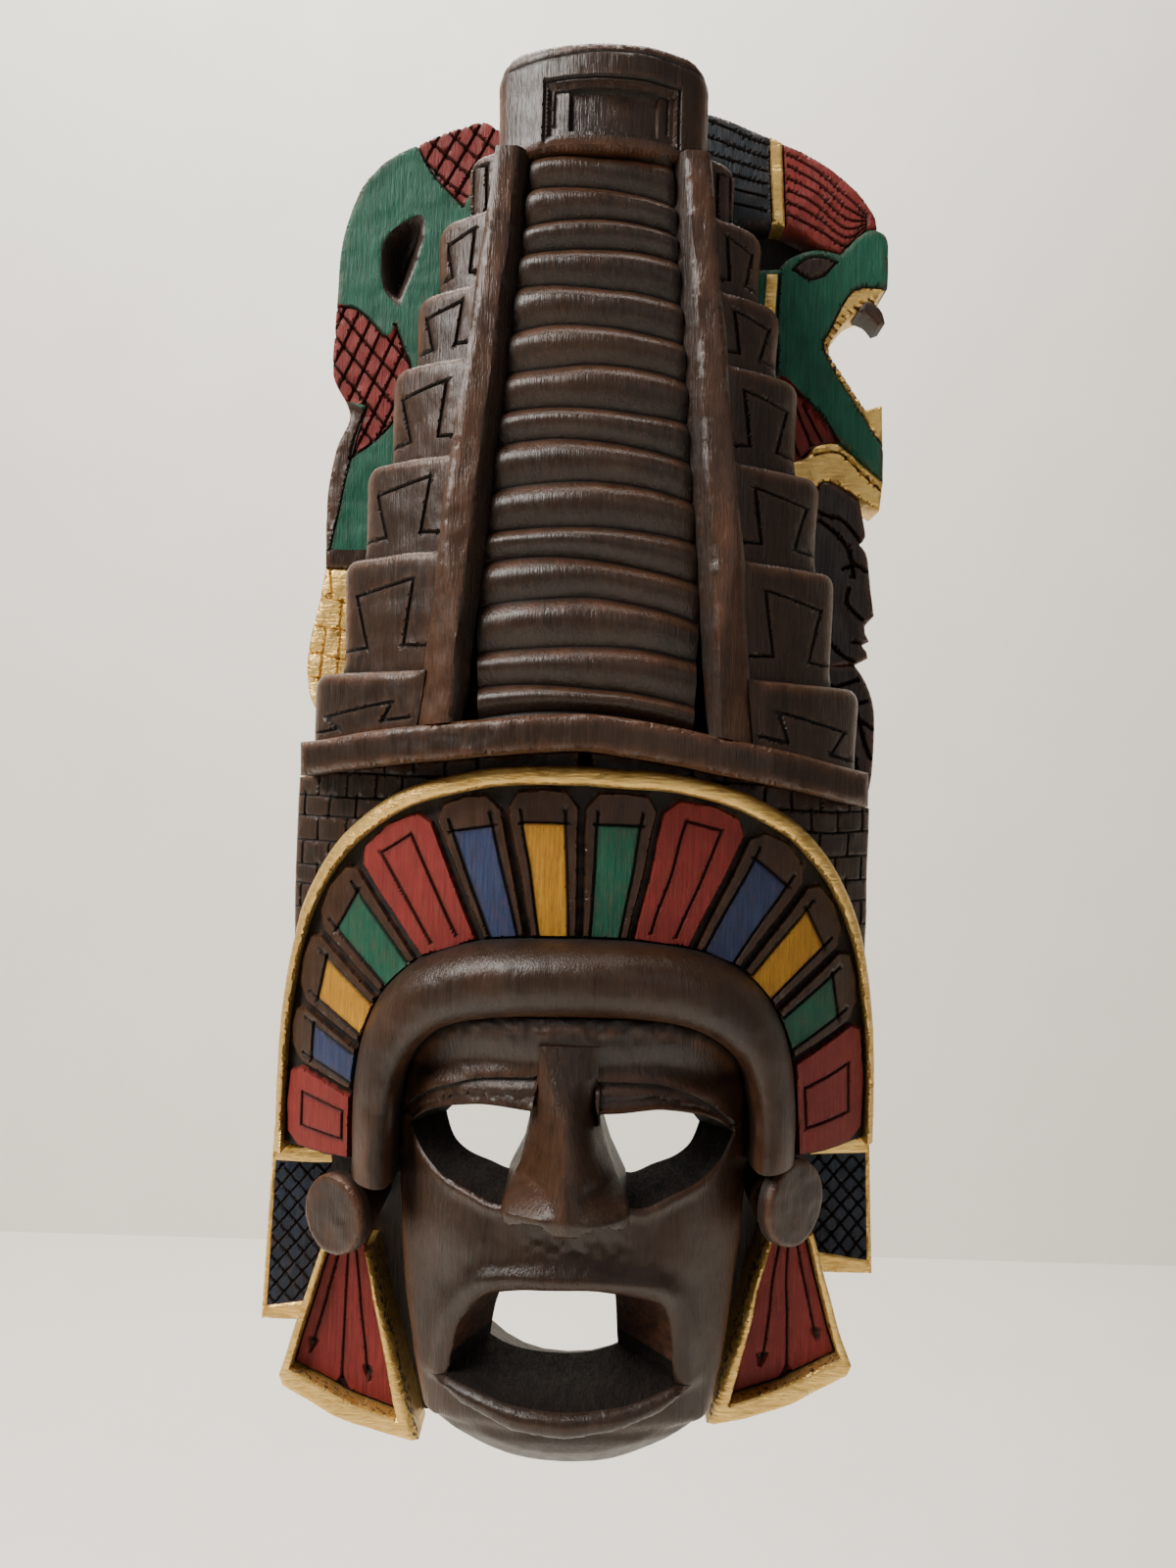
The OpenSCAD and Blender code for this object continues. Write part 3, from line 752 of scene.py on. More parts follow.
def stair():
    outline = [(stair_edge(z), z) for z in (0, 60, 120, 180, 211)]
    outline = [*ledge_line(-39, 39, 6)[1:-1], *outline[1:], *mirror(outline[1:])]

    def sway(x, k):
        return 0.9 * np.sin(x * 0.055 + 1.9 * k) + 0.012 * x * math.sin(2.3 * k + 1) - 0.0026 * x * x - 0.04 * x
    creases = []
    for k in range(len(STAIR_JOINTS) - 1):
        a, b = STAIR_JOINTS[k], STAIR_JOINTS[k + 1]
        for t in (0.0, 0.07, 0.3, 0.5, 0.66, 0.76, 0.88, 0.96):
            w = stair_edge(a + (b - a) * t) - 0.4
            line = [(x, a + sway(x, k) * (1 - t) + (b - a) * t + sway(x, k + 1) * t)
                    for x in np.linspace(-w, w, 34).tolist()]
            if min(q[1] for q in line) > ledge_z(38, 4) and max(q[1] for q in line) < 210.5:
                creases.append(line)

    def shape(x, z, d, cav, wear):
        for k in range(len(STAIR_JOINTS) - 1):
            a, b = STAIR_JOINTS[k] + sway(x, k), STAIR_JOINTS[k + 1] + sway(x, k + 1)
            t = (z - a) / (b - a)
            on = (t >= -1e-6) & (t < 1 - 1e-6)
            d = np.where(on, d - stair_profile(t), d)
            # Painted shade in the creases where one course meets the next.
            cav = np.where(on, np.clip(1 - np.minimum(t, 1 - t) / 0.07, 0, 1), cav)
            band = bell((t - 0.85) / 0.12) * (0.85 + 0.3 * lumps(x, z, 9, 4))
            wear = np.where(on, band, wear)
        # Painted shade, with a small drop, at the ends of the courses beside the rails.
        side = np.clip((abs(x) - (stair_edge(z) - 3.5)) / 3.5, 0, 1)
        return d - 1.2 * side ** 2, np.maximum(cav, side ** 2 * 0.8), wear

    def front(x, z):
        return 90 - 13 * (z - 5) / 206 - 90 + np.sqrt(np.maximum(8100 - x * x, 1)) + 0.5 * lumps(x, z, 21, 3)
    carve("stair_courses", outline, front, WOOD, ["stair"], "stained_wood", cell=2.4, creases=creases,
          edge=0, shape=shape, marks=0.12, seed=4, sharp=50)


def balustrade(side):
    s = 1 if side == "right" else -1
    heights = np.linspace(4, 212, 16).tolist()
    ends = sorted((s * (stair_edge(10) - 0.2), s * rail_edge(10)))
    foot = sorted((abs(x), z + 0.4) for x, z in ledge_line(*ends, 1.0, 5))
    outer = [(rail_edge(z) + 0.5 * math.sin(z * 0.09 + s), z) for z in heights[2:]]
    inner = [(stair_edge(z) - 0.2, z) for z in heights[2:]][::-1]
    outline = foot + outer + inner
    ridge = [(stair_edge(z) + 4.6 + 0.5 * math.sin(z * 0.11 + 2 * s), z) for z in heights[1:-1]]

    def front(x, z):
        lean = 89 - 13 * z / 211
        return np.minimum(lean, -4.2 + np.sqrt(np.maximum(10000 - x * x, 1)))

    def shape(x, z, d, cav, wear):
        u = np.clip((abs(x) - stair_edge(z)) / 4.6, 0, 1)
        d = d - 6.5 * (1 - u) ** 1.2 * (u < 1)
        # Painted shade on the inner slope down to the stair.
        cav = np.maximum(cav, np.clip(1 - u, 0, 1) * (0.5 + 0.3 * lumps(x, z, 4, 8)))
        out = np.clip((rail_edge(z) - abs(x)) / 2.2, 0, 1)
        wear = np.maximum(wear, 0.55 + 0.35 * lumps(x, z, 14, 6)) * (u >= 0.98)
        return d - 2.0 * quarter_round(out), cav, wear
    if s < 0:
        outline, ridge = mirror(outline), [(-x, z) for x, z in ridge]
    carve("balustrade_%s_carved" % side, outline, front, WOOD, ["balustrade_" + side], "stained_wood",
          cell=1.7, creases=[ridge], edge=0, shape=shape, marks=0.3, seed=5 + s)


def glyph(i, low, high):
    """The cut sign on a terrace: feet at the bottom and a box that widens upward."""
    a, b = rail_edge((low + high) / 2) + 2.0, TERRACE_W[i - 1] - 2.5
    bottom, top = low + 0.2 * (high - low), high - 0.24 * (high - low)
    w = b - a
    if i == 1:
        return [(a + 1.2, bottom - 2), (a + 1.2, top + 1), (a + 6, top + 1.4), (a + 6.2, bottom - 2)]
    return [(b + 0.5, bottom), (b - 0.26 * w, bottom + 0.6), (b - 0.1 * w, top - 0.09 * (high - low)),
            (a + 0.16 * w, top + 0.8), (a + 0.27 * w, bottom + 0.8), (a - 0.5, bottom + 0.4)]


def terrace(side, i):
    s = 1 if side == "right" else -1
    high, low, w = TERRACE_Z[i - 1], TERRACE_Z[i], TERRACE_W[i - 1]
    t = (i - 1) / 6
    corner = [(w - 5 + 5 * math.cos(a), high - 5 + 5 * math.sin(a)) for a in (0, 0.4, 0.8, 1.2, 1.57)]
    inner = rail_edge if i > 1 else (lambda z: max(36.0, rail_edge(z)))
    if i < 7:
        outline = [(inner(low) - 1, low - 0.6), (w - 0.8, low - 0.6), *corner, (inner(high) - 1, high)]
    else:
        base = sorted((abs(x), z) for x, z in ledge_line(s * (rail_edge(12) - 1), s * (w - 0.6), 2.5, 8))
        outline = [*base, *corner, (inner(high) - 1, high)]
    sign = [(x, max(z, ledge_z(s * x) + 2.5)) for x, z in glyph(i, low, high)]
    if s < 0:
        outline, sign = mirror(outline), mirror(sign)[::-1]

    def where(x, z):
        return np.clip((z - low) / 4 - 0.3, 0, 1) * np.clip((abs(x) - rail_edge(z)) / 3, 0, 1)
    carve("terrace_%s_%d_carved" % (side, i), outline, log_front(72 + 20 * t, 75 + 55 * t), WOOD,
          ["terrace_%s_%d" % (side, i)], "stained_wood", edge=3.2, drop=2.4, edge_where=where, cell=1.7,
          grooves=[(sign, 1.5, 1.5)], marks=0.28, seed=10 + 2 * i + s)


def base_ledge():
    under, top = ledge_line(-100.5, 100.5, 12.5, 17), ledge_line(100.5, -100.5, 0.5, 17)
    outline = curve([*under, *top], sharp={0, 16, 17, 33})

    def wave(x, z):
        return log_front(92.3, HEADDRESS_R)(x, z) + 0.5 * lumps(x, z * 0, 16, 7)
    carve("base_ledge_carved", outline, wave, WOOD, ["base_ledge"], "stained_wood", edge=2.4, drop=2.2,
          cell=1.8, marks=0.35, seed=30)


def rim_outer():
    return arch(*RIM_OUTER, FAN_Z, FAN_POWER, 72)


def rim_inner():
    return arch(*RIM_INNER, FAN_Z, FAN_POWER, 72)


def brick_wall(side):
    s = 1 if side == "right" else -1
    left, right = sorted((2 * s, 107 * s))
    outline = [(right, -60), *ledge_line(left, right, 12, 22)[::-1], (left, -60)]
    rim = rim_outer() + [(-112, -150), (112, -150)]
    lines = []
    for row in range(9):
        z = 1.5 - 8.4 * row - 0.6 * math.sin(row * 2.1)
        lines.append([(s * 106.6, z), (s * 20, z + 1.2 * math.sin(row + s))])
        x = 103 - (5.5 if row % 2 else 0) - 1.3 * math.sin(3 * row)
        while x > 30:
            lines.append([(s * x, z + 0.2), (s * (x + 0.4 * math.sin(x)), z + 8.0)])
            x -= 11.2 + 1.1 * math.sin(x * 1.7)
    keep = []
    for a, b in lines:
        run = [p for p in resample([a, b], 1.0, False)
               if inside(np.array([p]), outline)[0] and not inside(np.array([p]), rim)[0]]
        if len(run) > 2:
            keep.append(([run[0], run[-1]], 1.3, 1.1))
    carve("brick_wall_%s_carved" % side, outline, log_front(71.5, HEADDRESS_R), WOOD, ["brick_wall_" + side],
          "stained_wood", cuts=[rim], grooves=keep, edge=1.0, cell=1.7, marks=0.3, seed=33 + s)


# ---- feather fan ----

def reach(angle, a, h, z0, n):
    """Where the ray from the fan's centre at this angle from upright meets an arch."""
    sx, cz = math.sin(math.radians(angle)), math.cos(math.radians(angle))
    low, high = 10.0, 220.0
    for _ in range(40):
        r = (low + high) / 2
        x, z = r * sx, FAN_CENTRE[1] + r * cz - z0
        if (abs(x) / a) ** n + (max(z, 0) / h) ** n < 1:
            low = r
        else:
            high = r
    return low


def fan_point(angle, part, out=0.0):
    """A point between the headband (part 0) and the rim (part 1), moved outward by out mm."""
    near, far = reach(angle, 79.2, 77.7, BAND_Z, 3), reach(angle, 108.7, 130.2, FAN_Z, FAN_POWER)
    r = near + (far - near) * part + out
    return (r * math.sin(math.radians(angle)), FAN_CENTRE[1] + r * math.cos(math.radians(angle)))


def feather(i):
    a0, a1 = FEATHER_EDGE[i - 1], FEATHER_EDGE[i]
    paint, slot = PAINTS[(i - 1) % 4]
    steps = np.linspace(a1, a0, 7).tolist()
    outline = [fan_point(a, 1) for a in steps] + [fan_point(a, 0) for a in reversed(steps)]
    gap = 0.3
    inner = [fan_point(a0 + gap + 0.25, 0), fan_point(a1 - gap - 0.25, 0)]
    outer = [fan_point(a1 - gap, 1, -1.8), fan_point(a0 + gap, 1, -1.8)]
    mid = fan_point((a0 + a1) / 2, 1, -1.2)

    def along(p, q, dist):
        k = dist / math.dist(p, q)
        return (p[0] + (q[0] - p[0]) * k, p[1] + (q[1] - p[1]) * k)
    raised = [inner[0], inner[1], along(outer[0], inner[1], 5.5), along(outer[0], outer[1], 4.5), mid,
              along(outer[1], outer[0], 4.5), along(outer[1], inner[0], 5.5)]
    f0, f1 = a0 + 0.21 * (a1 - a0), a1 - 0.21 * (a1 - a0)
    field = [fan_point(f0, 0), fan_point(f1, 0), fan_point(f1, 1, -12.5), fan_point(f0, 1, -12.5)]
    fields = [dict(poly=raised, rise=3.3, bevel=0.9, wear=0.3, mat=paint if i % 4 == 1 else WOOD)]
    grooves = [([fan_point(f0, 0, 0.8), fan_point(f0, 1, -8.5)], 1.5, 1.5),
               ([fan_point(f1, 0, 0.8), fan_point(f1, 1, -8.5)], 1.5, 1.5),
               ([fan_point(f0 - 0.4, 1, -12.5), fan_point(f1 + 0.4, 1, -12.5)], 1.5, 1.5)]
    if i % 4 == 1:
        f0, f1 = a0 + 0.3 * (a1 - a0), a1 - 0.3 * (a1 - a0)
        line = [fan_point(f0, 0, 3), fan_point(f0, 1, -9), fan_point(f1, 1, -9), fan_point(f1, 0, 3)]
        if i in (1, 13):
            line.append(line[0])
        grooves = [(line, 1.4, 1.3)]
    else:
        fields.append(dict(poly=field, rise=-0.3, bevel=0.8, mat=paint))

    def bed(x, z, d, cav, wear):
        # Painted shade in the gaps between feathers and a little round the raised part.
        low = 1 - smooth(to_line(x, z, raised))
        out = ~inside(np.stack([x, z], 1), raised)
        return d, np.maximum(cav, np.where(out, 1.0, 0.3 * low)), np.where(out, 0, wear)
    carve("feather_%02d_carved" % i, outline, log_front(71.5, HEADDRESS_R), WOOD, ["feather_%02d" % i], slot,
          edge=0, fields=fields, grooves=grooves, shape=bed, cell=1.35, marks=0.16, seed=40 + i, floor=22)


def gold_rim():
    outer, inner = rim_outer(), rim_inner()
    outline = [*outer, (-112, -140), (-108.5, -140), *inner[::-1], (108.5, -131), (112, -131)]
    outline = [q for k, q in enumerate(outline) if k == 0 or math.dist(q, outline[k - 1]) > 0.05]

    def shape(x, z, d, cav, wear):
        a, b = to_line(x, z, outer, False), to_line(x, z, inner, False)
        t = a / np.maximum(a + b, 0.1)
        facet = np.floor((np.degrees(np.arctan2(x, z - FAN_CENTRE[1])) + 200) / 4.3)
        tilt = np.sin(facet * 2.7) * 0.35
        d = d - 1.7 * np.abs(2 * t - 1) ** 3 + tilt * (t - 0.5)
        # Painted shade towards the inner edge, beside the headband.
        return d, np.maximum(cav, 0.35 * smooth((t - 0.8) / 0.2)), wear
    carve("gold_rim_carved", outline, log_front(78.6, HEADDRESS_R), GOLD, ["gold_rim"], "gold_paint",
          edge=1.0, cell=1.2, shape=shape, marks=0.16, wall_shade=0.25, seed=60)


def headband():
    outer = arch(*BAND_OUTER, BAND_Z, 3, 72)
    inner = arch(*BAND_INNER, BAND_Z, 3.2, 60)
    left, right = [(-79, -139.5), (-62, -139.5)], [(62, -131), (79, -131)]
    outline = [*outer, *left, *inner[::-1], *right]
    creases = []
    for t in (0.04, 0.12, 0.24, 0.38, 0.5, 0.62, 0.76, 0.88, 0.96):
        a, h, n = 79 + (62 - 79) * t, 77.5 + (52 - 77.5) * t, 3 + 0.2 * t
        creases.append([(a, -130.6), *arch(a, h, BAND_Z, n, 60)[1:-1], (-a, -139)])

    def shape(x, z, d, cav, wear):
        a = to_line(x, z, [(79, -131), *outer, (-79, -139.5)], False)
        b = to_line(x, z, [(62, -131), *inner, (-62, -139.5)], False)
        t = a / np.maximum(a + b, 0.1)
        u = np.abs(2 * t - 1)
        d = d - 15.5 * (1 - np.sqrt(np.clip(1 - u ** 2.5, 0, 1)))
        scrape_and_shade = smooth((t - 0.82) / 0.1)
        wear = np.maximum(0.28 * lumps(x, z, 16, 2) + 0.1, scrape_and_shade * (0.75 + 0.25 * lumps(x, z, 3, 3)))
        wear = np.maximum(wear, 0.7 * smooth((-104 - z) / 22) * (t < 0.6) * (lumps(x, z, 6, 5) > -0.3))
        # Painted shade along both edges, where the band meets the fan and the face.
        return d, np.maximum(cav, np.maximum(smooth((0.05 - t) / 0.05), smooth((t - 0.96) / 0.04))), wear
    carve("headband_carved", outline, log_front(91.7, 113.5), WOOD, ["headband"], "stained_wood", edge=0,
          cell=1.7, creases=creases, shape=shape, marks=0.22, seed=62, sharp=60)


# ---- face ----

def eye_line():
    return [(8, -107.5), (22, -107), (31, -107.6), (42, -110.5), (50, -114.5), (55.5, -119.5), (51, -127),
            (43.5, -132.5), (33.5, -136), (23, -139), (12, -136)]


def mouth_line():
    return curve([(-40, -199), (-20, -202.5), (0, -203.5), (20, -202.5), (36.5, -199), (33, -177),
                  (26.4, -169.5), (9.5, -165.3), (-10, -166), (-24, -168.2), (-30.5, -173), (-36.6, -183)],
                  sharp={0, 4})


def jaw_line():
    return [(63, -131), (62, -141), (60.3, -160), (57.5, -180), (53.5, -200), (48.5, -216), (44, -225),
            (37, -233), (27, -239), (13, -242.6)]


def nose_edges(z):
    """Left edge, ridge and right edge of the nose at a height."""
    at = [84, 95, 107, 114, 126, 134, 139, 145]
    return (np.interp(-z, at, [-12, -12, -13.8, -15, -17.6, -21.3, -22.8, -22.4]),
            np.interp(-z, at, [-11.2, -8, -3.6, -3.0, -2.6, -2.4, -2.2, -2.2]),
            np.interp(-z, at, [7.7, 7.5, 7.6, 9.6, 13.4, 16.6, 18.6, 18.4]))


def nose_line():
    left = [(-12, -85.5), (-12, -95), (-13.6, -104), (-15, -114), (-17.6, -126), (-21.2, -133),
            (-22.8, -136.5), (-22.4, -140.8), (-20, -142.2), (-11, -141.8), (-5, -143), (1, -143)]
    right = [(7, -141.8), (16.3, -142), (18.3, -140.6), (18.6, -137), (16.6, -133), (13.4, -126), (9.6, -114),
             (7.5, -104), (7.5, -95), (7.7, -85.5)]
    return left + right


def face():
    inner = arch(62.5, 52.5, BAND_Z, 3.2, 60)
    jaw = jaw_line()
    outline = [*inner, *[(-x, z) for x, z in jaw], *jaw[::-1]]
    right = curve(eye_line(), sharp={0, 5, 10})
    eyes = [right[::-1], [(-x - 1.5, z) for x, z in right]]
    mouth = mouth_line()
    brows = open_curves([(8, -98), (16, -98), (28, -99.5), (39, -104), (49.5, -111), (55.5, -117)],
                        [(-12.5, -97), (-31.7, -99.7), (-45.6, -104.8), (-54.4, -110.5), (-59.8, -116.5)])
    rims = open_curves([(54, -118), (50, -113.5), (42, -109.5), (31, -106.6), (22, -106), (8, -106.5)],
                       [(-56, -118), (-51.5, -113.5), (-43.5, -109.5), (-32.5, -106.6), (-23.5, -106),
                        (-12, -106.5)])
    lids = [[*brows[0], *rims[0]][::-1], [*brows[1], *rims[1]]]

    def front(x, z):
        d = log_front(84.6, 70)(x, z)
        d += 2.0 * np.exp(-((abs(x) - 34) / 14) ** 2 - ((z + 156) / 15) ** 2)
        d -= 2.5 * np.exp(-(x / 18) ** 2 - ((z + 152) / 8) ** 2)
        chin = np.interp(0.007 * x * x - z, [206, 213, 221, 229, 236, 241, 244], [86, 84, 79, 70, 57, 42, 24])
        return np.minimum(d, chin + 0.15 * (d - 85))

    def shape(x, z, d, cav, wear):
        p = np.stack([x, z], 1)
        to_mouth = distance(p, segments(mouth))
        d = d + 2.4 * bell((to_mouth - 5.5) / 4.0) * smooth((-156 - z) / 8) * smooth((z + 204) / 5)
        for e, b in zip(eyes, brows):
            to_eye, to_brow = distance(p, segments(e)), distance(p, segments(b, False))
            d = d + 1.2 * bell((to_eye - 1.5) / 2.0)
            d = d + 1.2 * bell((to_brow - 2.5) / 3.0) * (to_eye > to_brow)
            d = d - 3.0 * bell((to_eye - 13) / 6) * smooth((z + 104) / 5)
            wear = np.maximum(wear, 0.4 * bell((to_eye - 1.0) / 1.2))
            wear = np.maximum(wear, 0.45 * bell((to_brow - 2.2) / 1.2))
        d = d - 1.8 * bell((z + 212.5 + 0.0022 * x * x) / 2.2) * (abs(x) < 44)
        # Painted shade under the chin, where it turns back.
        cav = np.maximum(cav, 0.3 * smooth((-213 - z) / 4))
        rough = bell((z + 80) / 4) + np.exp(-(x / 16) ** 2 - ((z + 151) / 5) ** 2)
        d = d + 0.9 * rough * lumps(x, z, 2.2, 9)
        wear = np.maximum(wear, 0.4 * np.clip(lumps(x, z, 30, 12), 0, 1))
        # Below the headband: painted shade along its edge and on the scraped band, whose roughness is real; rubbing
        # just below that edge.
        edge_top = distance(p, segments(inner, False))
        uneven = np.clip(0.55 + 0.6 * lumps(x, z, 3.0, 14), 0, 1)
        scrape_and_shade = smooth((-76 - z) / 2) * smooth((z + 87) / 4) * uneven
        cav = np.maximum(cav, np.maximum(0.9 * smooth((3.0 - edge_top) / 2.4), 0.8 * scrape_and_shade))
        wear = np.maximum(wear, 0.9 * bell((edge_top - 3.5) / 2) * (lumps(x, z, 4, 3) > -0.4))
        return d, cav, wear

    def eye_foot(s):
        return lambda x, z: (s * 12 + (x - s * 12) * 0.76, -127 + (z + 127) * 0.94)

    def mouth_foot(x, z):
        return (-4 + (x + 4) * (0.66 if x < -4 else 0.55), -203.2 + (z + 203.2) * 0.88)
    below = [(-x, -250 - z) for x, z in arch(54, 96, -125, 2.3, 60)]
    hollow = [*arch(54, 35, -125, 2.3, 40), *below[1:-1]]

    def back(x, z):
        depth = to_line(x, z, hollow) * inside(np.stack([x, z], 1), hollow)
        return 19.6 + 26.5 * (1 - (1 - np.clip(depth / 14, 0, 1)) ** 2.2)

    def where(x, z):
        return np.where(z > -140, np.where(abs(x) < 56, 0.35, 0), np.where(abs(x) > 43, 1.0, 0.3))
    # Opening walls: the eyes get a near-black lining as painted shade; the mouth gets the red-brown lining and
    # rubbing as painted light on its lit walls, and a near-black floor as painted shade.
    holes = [dict(line=eyes[0], foot=eye_foot(1), tone=(0.85, 0.1), lining=lambda z: SHADED_CUT),
             dict(line=eyes[1], foot=eye_foot(-1), tone=(0.9, 0.1), lining=lambda z: SHADED_CUT),
             dict(line=mouth, foot=mouth_foot, tone=(0.3, 0.6), lining=lambda z: SHADED_CUT if z < -192 else LIT_CUT)]
    carve("face_carved", outline, front, WOOD, ["face"], "stained_wood", holes=holes,
          cuts=[inset(nose_line(), 0.6), inset(lip_line(), 0.6)], edge=3.0, drop=2.6, edge_where=where,
          cell=1.25, grooves=[(b, 1.4, 1.5) for b in brows],
          # The sunk lid bands carry a little painted shade.
          fields=[dict(poly=q, rise=-1.9, bevel=0.7, cav=0.2) for q in lids],
          shape=shape, marks=0.14, back=back, back_creases=[hollow], wall_shade=0.45, seed=70, sharp=42)


def nose():
    def front(x, z):
        left, mid, right = nose_edges(z)
        ridge = np.interp(-z, [84, 95, 110, 125, 137, 141, 145], [84.8, 88.5, 95, 101, 103.6, 102.5, 98])
        foot = np.interp(-z, [84, 96, 106, 120, 129, 132, 136, 145], [84.7, 83.5, 77, 73, 79, 86, 93, 91.5])
        ul, ur = np.clip((mid - x) / (mid - left), 0, 1), np.clip((x - mid) / (right - mid), 0, 1)
        d = foot + (ridge - foot) * np.where(x < mid, 1 - ul ** 1.15, 1 - ur ** 2.3)
        side = smooth((abs(x + 2) - 3) / 5)
        return d + side * (1.2 * bell((z + 137) / 2.6) - 1.8 * bell((z + 129.5) / 2.8))

    def shape(x, z, d, cav, wear):
        across = abs(x + 2)
        # Painted shade in the nostrils, which are also cut back.
        nostril = smooth(-138.4 - 0.07 * (across - 11) ** 2 - z)
        nostril = nostril * smooth((across - 3.5) / 1.5) * smooth((18 - across) / 2)
        # Painted highlight: only the left facet of the nose is lightened, as its lit side.
        facet = (x < nose_edges(z)[1] - 0.6) * smooth((z + 140) / 6) * smooth((-86 - z) / 10)
        lit_flank = 0.6 * facet * (0.7 + 0.3 * lumps(x, z, 3, 5))
        crown = 0.4 * bell((x + 3) / 1.5) * smooth((-98 - z) / 12)
        wear = np.maximum(wear * 0.3, np.maximum(lit_flank, crown))
        return d - 5 * nostril, np.maximum(cav, 0.95 * nostril), wear
    rows = np.linspace(-86, -142.8, 22).tolist()
    ridge = [[(float(nose_edges(z)[1]) + k, z) for z in rows] for k in (-0.7, 0, 0.7)]
    carve("nose_carved", nose_line(), front, WOOD, ["nose"], "stained_wood", floor=46, creases=ridge,
          cell=1.1, edge=2.4, edge_where=lambda x, z: 0.35 * smooth((-92 - z) / 8) + 0.65 * smooth((-131 - z) / 4),
          shape=shape, marks=0.12, wall_shade=0.4, seed=72, sharp=35)


def lip_line():
    return [(-46, -200.5), (-34, -206.5), (-17, -210.5), (0, -211.7), (15, -210.5), (32, -206.5),
            (42, -200.5), (36.5, -199), (20, -202.5), (0, -203.5), (-20, -202.5), (-40, -199)]


def lower_lip():
    outline = lip_line()

    def shape(x, z, d, cav, wear):
        gap = to_line(x, z, outline)
        return d - 3.0 * quarter_round(gap / 4), cav, np.maximum(wear * 0.4, 0.4 * smooth((gap - 2.5) / 1.5))
    # Walls and back in the near-black lining: painted shade.
    carve("lower_lip_carved", outline, log_front(89.6, 70), WOOD, ["lower_lip"], "stained_wood", floor=47,
          edge=0, wall_mat=SHADED_CUT, shape=shape, cell=1.2, marks=0.14, seed=73)


def ear_spool(side):
    s = 1 if side == "right" else -1
    cx, cz, r, turn = (73.4, -145.2, 15.2, 42) if s > 0 else (-79.0, -153.6, 14.1, 35)
    place = Matrix.Translation((cx / 1000, -0.048, cz / 1000)) @ Matrix.Rotation(math.radians(turn * s), 4,
                                                                                 "Z")

    def shape(x, z, d, cav, wear):
        return d, cav, np.maximum(wear, 0.25 + 0.3 * lumps(x, z, 6, 3))
    carve("ear_spool_%s_carved" % side, circle(r, 40), level(8.9), WOOD, ["ear_spool_" + side],
          "stained_wood", floor=3.2, edge=1.6, cell=1.1, shape=shape, place=place, seed=75 + s, wall_shade=0.6)
    carve("ear_post_%s" % side, circle(8.5, 28, cx - 2 * s, cz), lambda x, z: 51 - 0.7 * s * (x - cx + 2 * s),
          WOOD, ["ear_spool_" + side], "stained_wood", edge=0, cell=1.8, marks=0.5, seed=77 + s, wall_shade=0.5,
          shape=shape)


# ---- side pieces ----

def pendant(side):
    s = 1 if side == "right" else -1
    field = [(85.4, -161.8), (73.9, -163.2), (60.2, -222.8), (79.5, -215.8), (98.2, -205.8)]
    bars = [(88, -161), (85.8, -161.5), (98.6, -206), (79.5, -216), (59.8, -223.2), (73.4, -163), (71, -163),
            (51.5, -232), (65, -229), (82, -223.5), (101.5, -212.5), (103, -209)]
    lines = [[(77, -163), (71.5, -209)], [(79.6, -163), (80.6, -212)], [(82.2, -163), (91, -198)],
             [(73.6, -164), (60.6, -222)], [(85.6, -162.5), (98, -205)],
             [(98, -206), (79.5, -215.4), (60.8, -222.4)]]
    heads = [[(68.8, -207), (74.2, -206.2), (70, -215.5)], [(88.2, -197.6), (93.6, -196), (92.8, -204)],
             [(77, -216.6), (80.6, -209.5), (83.6, -214.2)]]
    if s < 0:
        lines = flip(lines, SIDE_SHIFT, LEFT_DROP)
    carve("pendant_%s_carved" % side, side_plan(s, counter(field)), level(34.6), RED, ["pendant_" + side],
          "red_paint", grooves=[(q, 1.1, 1.0) for q in lines], edge=0, cell=1.2, marks=0.25, seed=80 + s,
          fields=[dict(poly=side_plan(s, q), rise=-1.2, bevel=0.7, cav=1) for q in heads])
    face_side, inner = side_plan(s, bars[6:8]), side_plan(s, bars[1:6])

    def sides(x, z, d, cav, wear):
        flaked = np.clip(1.1 - to_line(x, z, face_side, False) / 1.7, 0, 1)
        shade = 0.6 * np.clip(1 - to_line(x, z, inner, False), 0, 1)
        return d - 2.0 * flaked, np.maximum(cav, np.maximum(0.75 * flaked, shade)), wear
    carve("pendant_frame_%s_carved" % side, side_plan(s, counter(bars)), level(40.6), GOLD,
          ["pendant_frame_" + side], "gold_paint", edge=1.4, cell=1.1, marks=0.3, seed=82 + s, shape=sides,
          wall_shade=0.24)


def side_panel(side):
    s = 1 if side == "right" else -1
    foot = -183 if s > 0 else -198
    outer = [(112.5, -131), (86, -131), (86, foot), (115, foot)][::-1]
    bands = [[(112.6, -131), (86, -131), (86, -138), (112.6, -137)][::-1],
             [(86, foot + 9), (114.3, foot + 5), (115, foot), (86, foot)][::-1],
             [(110.8, -131), (112.5, -131), (115, foot), (113, foot)][::-1]]
    fields = [dict(poly=side_plan(s, b), rise=0.5, bevel=0.6, mat=GOLD) for b in bands]
    blue = side_plan(s, [(86, foot + 9), (112.6, foot + 5.4), (110.8, -138), (86, -138)])
    lines = hatch(blue, 50, 4.7) + hatch(blue, -48, 5.2)
    cut = side_plan(s, [(90, -60), (90, -131), (88, -161), (102.5, -208), (80, -222.5), (40, -222),
                        (40, -60)][::-1])
    carve("side_panel_%s_carved" % side, side_plan(s, outer), level(19.4), NAVY, ["side_panel_" + side],
          "blue_paint", cuts=[cut], fields=fields, grooves=[(q, 1.1, 0.9) for q in lines], edge=1.0, cell=1.3,
          marks=0.2, floor=BEHIND_FIGURES, seed=86 + s, wall_shade=0.3)


